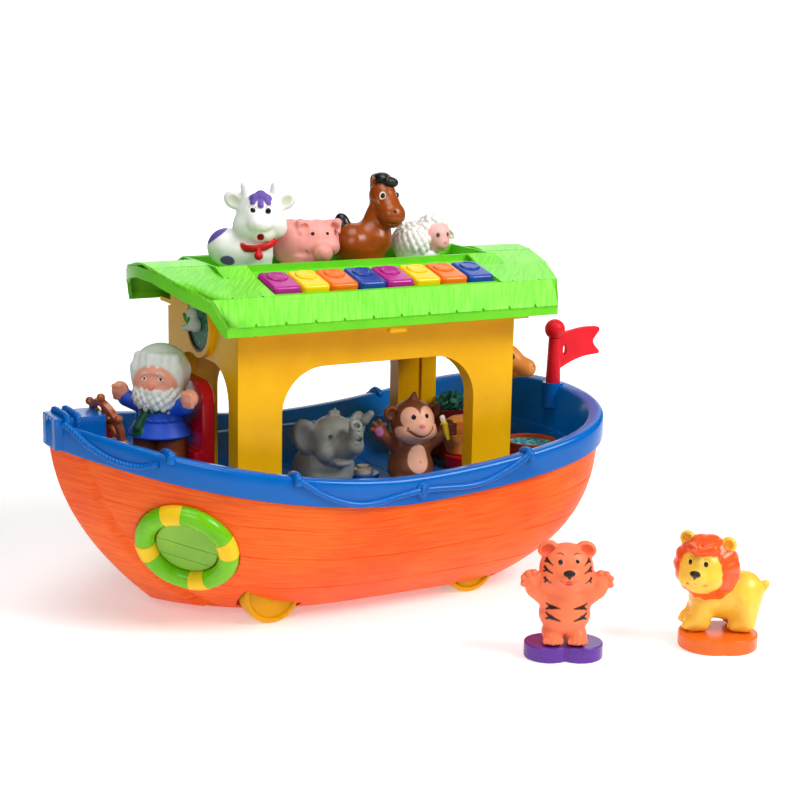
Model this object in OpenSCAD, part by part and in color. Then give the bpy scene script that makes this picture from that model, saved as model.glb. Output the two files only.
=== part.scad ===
// Toy ark with a cabin, a roof with piano keys and ten loose figures.
// Millimetres. The bow points to -X, +Z is up. The origin is on the hull's flat underside,
// below the middle of the cabin. The wheels reach a little lower than that face.

/* [Hull] */
// Half of the beam over the blue rim
rim_half_w = 108.75; // [106:0.25:112]
// Station where the bow part of the rim outline starts
bow_mid_x = -6.25; // [-10:0.25:-2]
// Length of the bow part of the rim outline
bow_len = 200; // [197:0.5:203]
// Station where the stern part of the rim outline starts
stern_mid_x = 43.75; // [40:0.25:47]
// Length of the stern part of the rim outline
stern_len = 140; // [137:0.5:144]
// Height of the rim at its lowest station
rim_z = 92.5; // [90:0.5:95]
// Rise of the rim from there to the bow
bow_rise = 35; // [32:0.5:38]
// Rise of the rim from there to the stern
stern_rise = 27.5; // [25:0.5:30]
// Height of the blue band
band_h = 17.5; // [15:0.5:20]
// Thickness of the band and of the deck moulding
tub_t = 2.4; // [2:0.1:3]
// Thickness of the orange shell
hull_t = 2.5; // [2:0.1:3]
// Width of the flat top of the rim
rim_lip = 9; // [8.5:0.25:10]

/* [Deck] */
// Height of the deck
deck_z = 63; // [60:0.5:65]
// Height of the ledge on the inner wall
ledge_z = 86; // [84:0.5:87]
// Distance of the deck's edge from the rim at the sides
deck_inset = 45; // [43:0.5:46]
// Height of the foredeck
foredeck_z = 94; // [92:0.5:96]
// Station of the foredeck's aft edge
foredeck_x = -104; // [-108:0.5:-103]
// Front face of the bow block
block_x = -204.3; // [-205:0.1:-203]
// Length of the bow block
block_l = 27.6; // [25:0.2:27.6]
// Width of the bow block
block_w = 25.6; // [22:0.2:28]
// Top of the bow block above the rim at the bow
block_up = 2; // [1:0.5:4]

/* [Wheels] */
// Radius of a wheel
wheel_r = 19.5; // [18:0.25:21]
// Width of a wheel
wheel_w = 14; // [12:0.5:15]
// Station of the front axle
axle_front_x = -77.5; // [-81:0.5:-74]
// Station of the rear axle
axle_rear_x = 71; // [68:0.5:74]
// Distance of a wheel's outer face from the middle plane
wheel_y = 61.5; // [60:0.1:63]
// Height of the hull's underside above the floor
ride_h = 7.5; // [6:0.25:8]
// Radius of an axle
axle_r = 2; // [1.5:0.1:2.5]
// Radial running clearance of shafts in their bores
run_fit = 0.05; // [0.02:0.01:0.1]

/* [Cabin] */
// Half of the cabin's length
cabin_x = 101.2; // [100:0.2:102]
// Half of the cabin's width
cabin_y = 58.4; // [57:0.2:60]
// Depth of the walls
wall_d = 12.6; // [11:0.2:13]
// Thickness of the walls' skins
skin_t = 2.6; // [2:0.1:3]
// Top of the side walls
wall_top = 184; // [182:0.5:185]
// Top of the end walls' gables
gable_top = 202; // [200:0.5:203]
// Half width of a gable
gable_y = 54; // [50:1:56]
// Half length of a side opening
side_open = 70.6; // [66:0.2:73]
// Top of the openings
open_top = 158.5; // [155:0.5:160]
// Corner radius of a side opening
side_open_r = 30; // [20:1:34]
// Half width of a doorway
door_half = 44; // [40:0.5:45]
// Corner radius of a doorway
door_r = 25; // [20:1:28]

/* [Roof] */
// Half width of the roof at the eaves
eave_y = 83.7; // [82:0.1:86]
// Bottom of the eaves
eave_z = 185.7; // [185:0.1:188]
// Height of the eaves' edge
eave_h = 5.9; // [5:0.1:7]
// Half width and height of the upper end of the lowest course
course3 = [71.4, 206.4];
// Half width and height of the upper end of the middle course
course2 = [39.6, 214];
// Half width and height of the upper end of the highest course
course1 = [14.1, 218.6];
// Half of the roof's length at the ridge
ridge_x = 141; // [138:0.5:144]
// Radius of the curved roof ends, in plan
end_r = 170; // [160:1:190]
// Thickness of the roof shell
roof_t = 2.5; // [2:0.1:3]
// Depth of the lip at the roof's ends
roof_lip = 5; // [3:0.5:6]
// Half length of the recess on the roof
recess_x = 100; // [96:0.5:104]
// Half width of the recess on the roof
recess_y = 24; // [22:0.5:25]
// Floor of the recess
recess_z = 209; // [207:0.5:211]
// Top of the lip round the recess
lip_z = 220.6; // [219.5:0.1:222]
// Thickness of the ceiling plate
ceiling_t = 3; // [2.5:0.1:3.5]

/* [Keys] */
// Number of keys
key_n = 8; // [8]
// Distance from key to key
key_pitch = 20.1; // [19:0.1:20.8]
// Gap between two keys
key_gap = 0.5; // [0.4:0.05:0.8]
// Length of a key down the slope
key_l = 28; // [25:0.5:28.5]
// Height of a key above the roof
key_up = 4; // [3:0.25:5]
// Travel of a key
key_travel = 2.5; // [2:0.25:3]
// Distance of the keys' middle from the ridge
key_y = 52; // [51:0.25:53]

/* [Clock] */
// Radius of the dial
dial_r = 16; // [14:0.5:17]
// Height of the clock's centre
clock_z = 180; // [179.5:0.25:181]
// Length of the clock hand
hand_l = 15; // [12:0.5:15.5]

/* [Fittings] */
// Radius of the ship's wheel at its rim
helm_r = 15; // [13:0.5:16]
// Station of the ship's wheel
helm_x = -166; // [-167:0.25:-165]
// Height of the ship's wheel
helm_z = 121; // [119:0.5:123]
// Lean of the ship's wheel towards the bow
helm_lean = 20; // [15:1:25]
// Turn of the ship's wheel towards the near side
helm_yaw = 10; // [5:1:15]
// Radius of the life buoy
buoy_r = 33.8; // [32:0.2:35]
// Radius of the life buoy's tube
buoy_tube = 6.4; // [6:0.1:7]
// Radius of the bath tub
bath_r = 19; // [17:0.5:19.5]
// Height of the bath tub
bath_h = 19; // [16:0.5:21]
// Radius of the deck button
button_r = 7; // [6:0.25:8]
// Travel of the deck button
button_travel = 1.5; // [1:0.25:2]
// Radius of the flag pole
pole_r = 5; // [4.5:0.25:5.5]
// Length of the flag pole above the rim
pole_l = 34; // [30:1:38]
// Radius of the ball on the flag pole
flag_ball_r = 7.4; // [6.5:0.1:8]
// Width of the captain's seat
seat_w = 60; // [54:1:64]
// Height of the captain's seat
seat_h = 53; // [48:1:56]

/* [Figures] */
// Thickness of the figures' bases
base_t = 9.5; // [8:0.5:10]
// Gap between a figure and what it stands on
stand_gap = 0.1; // [0.05:0.05:0.3]

/* [Hidden] */
$fn = 96;
floor_z = -ride_h;
eps = 0.01;

// Rim outline: superellipses for the bow and for the stern, joined by a straight side
outline_n = 12;
hull_in = 3;
function bow_pt(a, db, dw) = [bow_mid_x - (bow_len - db) * pow(sin(a), 2 / 3),
    (rim_half_w - dw) * pow(cos(a), 2 / 1.1)];
function stern_pt(a, ds, dw) = [stern_mid_x + (stern_len - ds) * pow(sin(a), 2 / 5),
    (rim_half_w - dw) * pow(cos(a), 2 / 1.9)];
function half_outline(db, ds, dw) = concat(
    [for (i = [outline_n:-1:0]) bow_pt(90 * i / outline_n, db, dw)],
    [for (i = [0:outline_n]) stern_pt(90 * i / outline_n, ds, dw)]);
function outline(db, ds, dw) = let (h = half_outline(db, ds, dw), m = len(h))
    concat(h, [for (i = [m - 2:-1:1]) [h[i][0], -h[i][1]]]);
function sheer(x) = x < bow_mid_x
    ? rim_z + bow_rise * pow((bow_mid_x - x) / bow_len, 1.6)
    : rim_z + stern_rise * pow((x - bow_mid_x) / (stern_mid_x + stern_len - bow_mid_x), 1.8);

// Fullness of the hull from its base (0) to the rim (1)
function grow(g, p, s) = g + (1 - g) * (1 - pow(1 - s, p));
function hull_ring(inset, s, z0, top) = [for (q = outline(inset, inset, inset))
    let (gb = grow(0.655, 2.05, s), gs = grow(0.68, 2.85, s), gw = grow(0.58, 3, s))
    [bow_mid_x + (q[0] - bow_mid_x) * (q[0] < bow_mid_x ? gb : gs), q[1] * gw,
        z0 + s * (sheer(q[0]) - top - z0)]];
function rim_ring(d, drop) = [for (q = outline(d, d, d)) [q[0], q[1], sheer(q[0]) - drop]];
function flat_ring(db, ds, dw, z) = [for (q = outline(db, ds, dw)) [q[0], q[1], z]];

// Closed skin through rings of equal length, with flat ends
module loft(rings) {
    n = len(rings[0]);
    m = len(rings);
    polyhedron(points = [for (r = rings) for (p = r) p],
        faces = concat([[for (i = [n - 1:-1:0]) i]], [[for (i = [0:n - 1]) (m - 1) * n + i]],
            [for (j = [0:m - 2]) for (i = [0:n - 1]) let (k = (i + 1) % n)
                [j * n + i, j * n + k, (j + 1) * n + k]],
            [for (j = [0:m - 2]) for (i = [0:n - 1]) let (k = (i + 1) % n)
                [j * n + i, (j + 1) * n + k, (j + 1) * n + i]]));
}

// Tube from a to b with ball ends a touch wider than the cone between them
module limb(a, b, ra, rb) {
    d = b - a;
    l = norm(d);
    translate(a) sphere(ra);
    translate(b) sphere(rb);
    translate(a) rotate([0, acos(d[2] / l), atan2(d[1], d[0])]) cylinder(h = l, r1 = 0.97 * ra, r2 = 0.97 * rb);
}
module ball(p, r) translate(p) sphere(r);
module box(lo, hi) translate(lo) cube(hi - lo);
module both_sides() { children(); mirror([0, 1, 0]) children(); }
module screw(l, head_r, shank_r) { cylinder(h = 1.8, r = head_r); cylinder(h = l, r = shank_r); }

// Screws: those of the hull stand in posts under the deck
screw_r = 1.5;
screw_head_r = 3.6;
post_r = 5;
post_at = [for (x = [-38, 30]) for (y = [-30, 30]) [x, y]];
hull_boss_h = 8;
hull_sink = 4;
hull_screw_l = 20;

// Wheels and axles
axle_z = floor_z + wheel_r;
axle_l = 2 * wheel_y - 6;
well_gap = 1.8;
well_wall = 2;
well_in = wheel_y - wheel_w - well_gap;
well_out = wheel_y + well_gap;
module wells(grow_by) both_sides() for (x = [axle_front_x, axle_rear_x])
    translate([x, well_out + grow_by, axle_z]) rotate([90, 0, 0])
        cylinder(h = well_out - well_in + 2 * grow_by, r = wheel_r + well_gap + grow_by);

// Life buoy: its own plane on the port bow, a flat seat for it and a hole for its panel
buoy_at = [-136.5, -60.1, 50.7];
buoy_turn = -42.7;
buoy_dip = 26.7;
module on_buoy() translate(buoy_at) rotate([0, 0, buoy_turn]) rotate([90 + buoy_dip, 0, 0]) children();
buoy_mid_r = buoy_r - buoy_tube;
buoy_back = -2.2;
buoy_seat = buoy_back - 0.1;
buoy_seat_t = 4.7;
panel_r = buoy_mid_r - buoy_tube - 0.7;

module hull_body() loft([for (s = [0, 0.03, 0.08, 0.15, 0.25, 0.38, 0.53, 0.7]) hull_ring(hull_in, s, 0, tub_t + 0.1)]);

module hull_shell() color("#f26a35") difference() {
    union() {
        loft(concat([for (s = [0, 0.03, 0.08, 0.15, 0.25, 0.38, 0.53, 0.7, 0.86, 1])
                hull_ring(hull_in, s, 0, tub_t + 0.1)],
            [for (s = [1, 0.86, 0.65, 0.42, 0.22, 0.08, 0])
                hull_ring(hull_in + hull_t, s, hull_t, tub_t + 0.1)]));
        intersection() {
            wells(well_wall);
            hull_body();
        }
        for (p = post_at) translate([p[0], p[1], hull_t / 2]) cylinder(h = hull_boss_h - hull_t / 2, r = 6.5);
        on_buoy() translate([0, 0, buoy_seat - buoy_seat_t]) cylinder(h = buoy_seat_t, r = buoy_r - 2.4);
    }
    on_buoy() translate([0, 0, buoy_seat]) cylinder(h = 20, r = buoy_r + 0.5);
    wells(0);
    for (x = [axle_front_x, axle_rear_x]) translate([x, 0, axle_z]) rotate([90, 0, 0])
        cylinder(h = 2 * well_in + 1, r = axle_r + run_fit, center = true);
    for (p = post_at) translate([p[0], p[1], 0]) {
        translate([0, 0, -1]) cylinder(h = hull_sink + 1, r = screw_head_r + 0.4);
        cylinder(h = hull_boss_h + 1, r = screw_r + 0.2);
    }
    on_buoy() translate([0, 0, -20]) cylinder(h = 40, r = panel_r + 0.15);
}

// Deck moulding: band, rim, inner wall with its ledge, deck, foredeck and bow block
deck_stern_in = 16;
foredeck_t = 2.5;
boss_h = 7;
button_at = [16, -5];
button_hole_r = button_r + 0.3;
pole_x = stern_mid_x + stern_len - 9.75;
spigot_r = 3;
spigot_l = 13;
pole_z = sheer(pole_x) + 2;
module tub_loft() loft([
    flat_ring(deck_inset - tub_t, deck_stern_in - 1, deck_inset - tub_t, deck_z - tub_t),
    flat_ring(22, 12, 22, ledge_z - tub_t),
    flat_ring(17, 10.6, 17, ledge_z - tub_t + 0.4),
    rim_ring(rim_lip - 1.4, tub_t + 1),
    rim_ring(rim_lip - 2.4, tub_t),
    rim_ring(hull_in - 0.3, tub_t),
    rim_ring(hull_in - 0.3, band_h),
    rim_ring(0.8, band_h),
    rim_ring(0, 2),
    rim_ring(0.7, 0.5),
    rim_ring(2, 0),
    rim_ring(rim_lip, 0),
    rim_ring(rim_lip + 1, 1.2),
    flat_ring(19.4, 13, 19.4, ledge_z + 0.4),
    flat_ring(24.4, 14.4, 24.4, ledge_z),
    flat_ring(deck_inset, deck_stern_in, deck_inset, deck_z)]);
// Room of the hull's stem under the rim, inside the bow block
module stem_room() intersection() {
    linear_extrude(200) polygon(outline(hull_in - 0.3, hull_in - 0.3, hull_in - 0.3));
    rotate([90, 0, 0]) linear_extrude(2 * block_w, center = true) polygon(concat(
        [for (x = [block_x - 1:1:block_x + block_l + 1]) [x, sheer(x) - tub_t]],
        [[block_x + block_l + 1, 0], [block_x - 1, 0]]));
}

module deck_tub() color("#0a6fc2") difference() {
    union() {
        tub_loft();
        // Foredeck with its bulkhead
        translate([0, 0, foredeck_z - foredeck_t]) linear_extrude(foredeck_t) intersection() {
            polygon(outline(16.6, 16.6, 16.6));
            translate([-300, -150]) square([300 + foredeck_x, 300]);
        }
        box([foredeck_x - 2.5, -48, deck_z - 1], [foredeck_x, 48, foredeck_z - 1]);
        // Bow block, hollow where the stem of the hull stands
        difference() {
            box([block_x, -block_w / 2, sheer(block_x + 6) - band_h + 1],
                [block_x + block_l, block_w / 2, sheer(block_x) + block_up]);
            stem_room();
        }
        // Boss round the deck button, and its guide below the deck
        translate([button_at[0], button_at[1], deck_z - tub_t - 6]) cylinder(h = 6 + tub_t + boss_h, r = 11);
        // Posts for the hull screws
        for (p = post_at) translate([p[0], p[1], hull_boss_h + 0.1])
            cylinder(h = deck_z - hull_boss_h - 1, r = post_r);
        // Socket of the flag pole
        intersection() {
            translate([pole_x, 0, pole_z - spigot_l - 5]) cylinder(h = spigot_l + 5, r = 7.4);
            box([pole_x - 20, -20, 0], [stern_mid_x + stern_len - hull_in - hull_t - 0.6, 20, 200]);
        }
        translate([pole_x, 0, sheer(pole_x) - 0.5]) cylinder(h = pole_z - sheer(pole_x) + 0.5, r = 7.4);
    }
    box([block_x - 10, -30, 80], [block_x, 30, 150]);
    translate([button_at[0], button_at[1], deck_z - tub_t - 8]) cylinder(h = 40, r = button_hole_r);
    for (p = post_at) translate([p[0], p[1], 0]) cylinder(h = hull_screw_l + 6, r = screw_r);
    translate([pole_x, 0, pole_z - spigot_l]) cylinder(h = spigot_l + 10, r = spigot_r + run_fit);
    for (x = [-1, 1]) for (y = [-1, 1]) translate([x * foot_x, y * foot_y, deck_z - tub_t - 1])
        cylinder(h = tub_t + 2, r = screw_r + 0.2);
}

module hull_screws() color("#9a9ca0") for (p = post_at)
    translate([p[0], p[1], hull_sink - 1.8]) screw(hull_screw_l - 2, screw_head_r, screw_r);

module axle(x) color("#a9abae") translate([x, 0, axle_z]) rotate([90, 0, 0])
    cylinder(h = axle_l, r = axle_r, center = true);
module axle_front() axle(axle_front_x);
module axle_rear() axle(axle_rear_x);

// Wheel with a dished face and a closed hub cap; the axle is pressed into it
module wheel(x, side) color("#f7c81a") translate([x, side * wheel_y, axle_z]) rotate([side * 90, 0, 0])
    difference() {
        rotate_extrude() polygon([[0, 0], [6, 0], [7, 1.2], [wheel_r - 4, 2.2], [wheel_r - 3, 0.3],
            [wheel_r - 1.2, 0], [wheel_r, 1.4], [wheel_r, wheel_w - 1.4], [wheel_r - 1.2, wheel_w],
            [wheel_r - 3, wheel_w], [wheel_r - 4, 5], [6, 5], [5, wheel_w], [0, wheel_w]]);
        translate([0, 0, wheel_y - axle_l / 2]) cylinder(h = wheel_w, r = axle_r);
    }
module wheel_front_port() wheel(axle_front_x, -1);
module wheel_front_starboard() wheel(axle_front_x, 1);
module wheel_rear_port() wheel(axle_rear_x, -1);
module wheel_rear_starboard() wheel(axle_rear_x, 1);

// Cabin walls: hollow panels, mitred at the corners
foot_x = cabin_x - wall_d - 7;
foot_y = cabin_y - wall_d / 2;
foot_solid = 12;
cabin_screw_l = 13;
module arch(half, r, low, top) {
    translate([-half, low]) square([2 * half, top - r - low]);
    translate([-half + r, low]) square([2 * (half - r), top - low]);
    for (s = [-1, 1]) translate([s * (half - r), top - r]) circle(r);
}
// Panel in the XZ plane whose outer face is at y = -face and whose ends are mitred
module panel(half, face, open_half, open_r, low, top, gable) {
    intersection() {
        translate([0, -face + wall_d, 0]) rotate([90, 0, 0]) linear_extrude(wall_d) difference() {
            union() {
                translate([-half, deck_z]) square([2 * half, wall_top - deck_z]);
                if (gable > 0) translate([-gable, wall_top - 1]) square([2 * gable, top - wall_top + 1]);
            }
            arch(open_half, open_r, low, open_top);
        }
        linear_extrude(top + 1) polygon([[-half, -face], [half, -face], [half - wall_d - eps, -face + wall_d],
            [-half + wall_d + eps, -face + wall_d]]);
    }
}
module panel_void(half, face, open_half, open_r, top)
    translate([0, -face + wall_d - skin_t, 0]) rotate([90, 0, 0]) linear_extrude(wall_d - 2 * skin_t)
        difference() {
            translate([-half + wall_d + skin_t, deck_z + foot_solid])
                square([2 * (half - wall_d - skin_t), top - deck_z - foot_solid + 1]);
            arch(open_half + skin_t, open_r + skin_t, deck_z, open_top + skin_t);
        }
// Room between the deck's sloping sides, which trims the walls' lower corners
wall_gap = 0.25;
module deck_room() {
    loft([flat_ring(deck_inset + wall_gap, deck_stern_in + wall_gap, deck_inset + wall_gap, deck_z),
        flat_ring(24.4 + wall_gap, 14.4 + wall_gap, 24.4 + wall_gap, ledge_z)]);
    box([-cabin_x - 1, -cabin_y - 1, ledge_z - eps], [cabin_x + 1, cabin_y + 1, gable_top + 1]);
}
module side_wall() difference() {
    intersection() {
        panel(cabin_x, cabin_y, side_open, side_open_r, deck_z - 1, wall_top, 0);
        deck_room();
    }
    panel_void(cabin_x, cabin_y, side_open, side_open_r, wall_top);
    for (s = [-1, 1]) translate([s * foot_x, -foot_y, deck_z - 1])
        cylinder(h = cabin_screw_l, r = screw_r);
}
module end_wall() {
    difference() {
        panel(cabin_y, cabin_x, door_half, door_r, deck_z - 1, gable_top, gable_y);
        translate([0, -cabin_x + wall_d - skin_t, 0]) rotate([90, 0, 0]) linear_extrude(wall_d - 2 * skin_t)
            translate([-gable_y + skin_t, open_top + skin_t])
                square([2 * (gable_y - skin_t), 60]);
        // The ceiling frame's edge lies on the inner half of the gable
        box([-80, -cabin_x + wall_d - skin_t, wall_top], [80, -cabin_x + wall_d + 1, gable_top + 1]);
    }
}
module cabin_wall_port() color("#fdc90a") side_wall();
module cabin_wall_starboard() color("#fdc90a") mirror([0, 1, 0]) side_wall();

// The bow wall carries the clock: a raised ring and a bore for the hand's shaft
clock_ring_r = dial_r + 5.5;
clock_ring_t = 3;
hand_shaft_r = 2;
module on_clock() translate([-cabin_x, 0, clock_z]) rotate([0, -90, 0]) children();
module cabin_wall_bow() color("#e9c489") difference() {
    union() {
        intersection() {
            rotate([0, 0, -90]) end_wall();
            deck_room();
        }
        on_clock() difference() {
            translate([0, 0, -1]) cylinder(h = clock_ring_t + 1, r = clock_ring_r);
            translate([0, 0, 0.01]) cylinder(h = 10, r = dial_r + 2);
        }
    }
    on_clock() translate([0, 0, -skin_t - 1]) cylinder(h = 20, r = hand_shaft_r + run_fit);
}
module cabin_wall_stern() color("#fdc90a") rotate([0, 0, 90]) end_wall();
module cabin_screws() color("#9a9ca0") for (x = [-1, 1]) for (y = [-1, 1])
    translate([x * foot_x, y * foot_y, deck_z - tub_t - 1.8]) screw(cabin_screw_l, screw_head_r, screw_r);

// Roof: profile in the YZ plane, swept along the ark and cut to curved ends
function roof_outer() = [[eave_y, eave_z], [eave_y, eave_z + eave_h], course3, course2, course1];
function roof_inner() = [[eave_y - roof_t, eave_z - 1], [eave_y - roof_t, eave_z + eave_h - roof_t / 3],
    course3 - [roof_t / 2, roof_t], course2 - [0, roof_t], course1 - [0, roof_t]];
function both_halves(h) = concat(h, [for (i = [len(h) - 1:-1:0]) [-h[i][0], h[i][1]]]);
function slope_z(y) = course3[1] + (course3[0] - y) * (course2[1] - course3[1]) / (course3[0] - course2[0]);
key_tilt = atan((course2[1] - course3[1]) / (course3[0] - course2[0]));
roof_boss = [for (x = [-76, 76]) for (y = [-31, 31]) [x, y]];
ceiling_z = wall_top + ceiling_t;
module on_slope(x) translate([x, -key_y, slope_z(key_y)]) rotate([key_tilt, 0, 0]) children();
module along_x(l) rotate([90, 0, 90]) linear_extrude(l, center = true) children();
module roof_shell() color("#7fdc2f") difference() {
    union() {
        intersection() {
            along_x(2 * ridge_x + 2) difference() {
                polygon(both_halves(roof_outer()));
                polygon(both_halves(roof_inner()));
            }
            for_ends(end_r, ridge_x);
        }
        intersection() {
            along_x(2 * ridge_x + 2) difference() {
                polygon(both_halves(roof_outer()));
                polygon(both_halves([for (q = roof_inner()) q - [0, roof_lip]]));
            }
            difference() {
                for_ends(end_r, ridge_x);
                for_ends(end_r - roof_t, ridge_x - roof_t);
            }
        }
        box([-recess_x - roof_t, -recess_y - roof_t, recess_z - roof_t],
            [recess_x + roof_t, recess_y + roof_t, lip_z]);
        for (p = roof_boss) translate([p[0], p[1], ceiling_z]) cylinder(h = slope_z(abs(p[1])) - ceiling_z - 1, r = 4);
    }
    box([-recess_x, -recess_y, recess_z], [recess_x, recess_y, lip_z + 1]);
    on_slope(0) translate([-key_span / 2, -key_slot / 2, -10]) cube([key_span, key_slot, 20]);
    for (p = roof_boss) translate([p[0], p[1], ceiling_z - 1]) cylinder(h = 12, r = screw_r);
}
// Plan outline with round ends: the overlap of two large discs
module for_ends(r, half) translate([0, 0, eave_z - 10]) linear_extrude(60) intersection() {
    translate([half - r, 0]) circle(r);
    translate([r - half, 0]) circle(r);
}

key_span = key_n * key_pitch + 1;
key_slot = key_l + 0.8;
key_skirt = 5;
mat_top = -key_skirt - key_travel - 0.6;
mat_t = 2;
board_t = 1.6;
board_low = mat_top - mat_t - board_t;
key_colours = ["#e0218a", "#f5d90a", "#ff8a1e", "#2a45c9"];
// Key: block with rounded front corners and a round pad near the back
module key(i) color(key_colours[i % 4]) on_slope((i - (key_n - 1) / 2) * key_pitch) {
    w = key_pitch - key_gap;
    difference() {
        union() {
            box([-w / 2, -key_l / 2, -key_skirt], [w / 2, key_l / 2, key_up]);
            translate([0, key_l / 2 - 10, 0]) cylinder(h = key_up + 1.2, r = 7);
        }
        translate([0, 0, -key_skirt - 1]) linear_extrude(key_skirt - 1) square([w - 4, key_l - 4], center = true);
        translate([-w, -key_l / 2, key_up]) rotate([45, 0, 0]) translate([0, -3, -1.2]) cube([2 * w, 6, 6]);
    }
}
module key_1() key(0);
module key_2() key(1);
module key_3() key(2);
module key_4() key(3);
module key_5() key(4);
module key_6() key(5);
module key_7() key(6);
module key_8() key(7);

module key_mat() color("#5c6168") on_slope(0) {
    translate([-key_span / 2, -key_l / 2, mat_top - mat_t]) cube([key_span, key_l, mat_t]);
    for (i = [0:key_n - 1]) translate([(i - (key_n - 1) / 2) * key_pitch, 0, mat_top - eps])
        cylinder(h = 0.4, r = 4);
}
module key_board() color("#2f7d4f") on_slope(0) {
    translate([-key_span / 2, -key_l / 2, board_low]) cube([key_span, key_l, board_t]);
}

// Ceiling frame: plate under the roof with the battery bay, the board's rests and the speaker's grille
battery_r = 5.25;
battery_l = 44.5;
bay_x = -36;
bay_y = 45;
bay_l = battery_l + 3;
bay_w = 6 * battery_r + 3;
door_t = 2.5;
speaker_at = [36, 45];
speaker_r = 18;
ceiling_x = cabin_x - skin_t - 0.3;
ceiling_y = eave_y - roof_t - 0.7;
function rest_z(y) = slope_z(y) + board_low / cos(key_tilt) - 0.05;
module ceiling_frame() color("#f4b90c") difference() {
    union() {
        difference() {
            box([-ceiling_x, -ceiling_y, wall_top], [ceiling_x, ceiling_y, ceiling_z]);
            // Cleared for the gables' outer skins and for the walls' corners
            for (s = [-1, 1]) translate([s * ceiling_x, 0, wall_top + ceiling_t / 2])
                cube([2 * (wall_d - 2 * skin_t) + 0.6, 2 * gable_y + 0.6, ceiling_t + 1], center = true);
        }
        translate([bay_x, bay_y, ceiling_z - eps]) linear_extrude(12) difference() {
            square([bay_l + 4, bay_w + 4], center = true);
            square([bay_l, bay_w], center = true);
        }
        for (s = [-1, 1]) translate([s * (key_span / 2 - 3), 0, 0]) along_x(5)
            polygon([[-key_y - 12, ceiling_z - eps], [-key_y + 12, ceiling_z - eps],
                [-key_y + 12, rest_z(key_y - 12)], [-key_y - 12, rest_z(key_y + 12)]]);
        // Latch tabs below the eaves
        both_sides() box([-6, ceiling_y - 4, wall_top - 3], [6, ceiling_y, wall_top + 1]);
    }
    translate([bay_x, bay_y, wall_top - 1]) linear_extrude(ceiling_t + 2) square([bay_l, bay_w], center = true);
    for (p = roof_boss) translate([p[0], p[1], wall_top - 1]) cylinder(h = 6, r = screw_r + 0.2);
    for (a = [0:60:300]) translate([speaker_at[0] + 9 * cos(a), speaker_at[1] + 9 * sin(a), wall_top - 1])
        cylinder(h = 6, r = 2);
}
module roof_screws() color("#9a9ca0") for (p = roof_boss)
    translate([p[0], p[1], wall_top - 1.8]) screw(14, screw_head_r, screw_r);
module battery_cells() color("#c9a13c") for (i = [-1:1])
    translate([bay_x - battery_l / 2, bay_y + i * 2.1 * battery_r, wall_top + door_t + battery_r + 0.05])
        rotate([0, 90, 0]) {
            cylinder(h = battery_l - 1, r = battery_r);
            cylinder(h = battery_l, r = 1.8);
        }
module battery_door() color("#f4b90c")
    box([bay_x - bay_l / 2 + 0.3, bay_y - bay_w / 2 + 0.3, wall_top],
        [bay_x + bay_l / 2 - 0.3, bay_y + bay_w / 2 - 0.3, wall_top + door_t]);
module speaker() color("#3b3d42") translate([speaker_at[0], speaker_at[1], ceiling_z + 0.05]) {
    difference() {
        cylinder(h = 7, r1 = speaker_r, r2 = 12);
        translate([0, 0, -1]) cylinder(h = 6, r1 = speaker_r - 2, r2 = 9);
    }
    translate([0, 0, 6.5]) cylinder(h = 5, r = 9.5);
}

// Clock
module clock_bezel() color("#6e1e12") on_clock() translate([0, 0, 0.05]) difference() {
    cylinder(h = clock_ring_t - 0.4, r = dial_r + 1.9);
    translate([0, 0, -1]) cylinder(h = 10, r = dial_r);
}
module clock_dial() color("#3f9c86") on_clock() translate([0, 0, 0.05]) difference() {
    cylinder(h = 1.4, r = dial_r - 0.1);
    translate([0, 0, -1]) cylinder(h = 10, r = hand_shaft_r + 0.3);
}
// Clock hand: a plump pointer on a hub, with a shaft in the wall's bore
module clock_hand() color("#d9dcd2") on_clock() {
    translate([0, 0, -skin_t]) cylinder(h = 6, r = hand_shaft_r);
    translate([0, 0, 1.9]) cylinder(h = 4.5, r = 4.6);
    limb([0, 0, 6.3], [hand_l * 0.55, 0, 6.6], 4, 3.6);
    limb([hand_l * 0.55, 0, 6.6], [hand_l - 2.5, 0, 5.6], 3.5, 2.5);
    translate([-1, 0, 6]) cylinder(h = 8, r1 = 3.4, r2 = 2.2);
}

// Captain's seat: back, pan and wings
seat_x = foredeck_x - 0.5;
seat_t = 9;
module seat_back() translate([seat_x - seat_t, 0, foredeck_z]) rotate([90, 0, 90]) linear_extrude(seat_t) union() {
    translate([-seat_w / 2, 0]) square([seat_w, seat_h - 14]);
    translate([-seat_w / 2 + 14, 0]) square([seat_w - 28, seat_h]);
    for (s = [-1, 1]) translate([s * (seat_w / 2 - 14), seat_h - 14]) circle(14);
}
pan_t = 2.5;
module captain_seat() color("#d0102a") {
    seat_back();
    box([-150, -15, foredeck_z], [seat_x - seat_t + 1, 15, foredeck_z + pan_t]);
    difference() {
        box([seat_x - 14, -seat_w / 2, foredeck_z], [seat_x - seat_t + 1, seat_w / 2, foredeck_z + 9]);
        translate([seat_x - 40, 0, foredeck_z - 1]) cylinder(h = 30, r = 29);
    }
}

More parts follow.
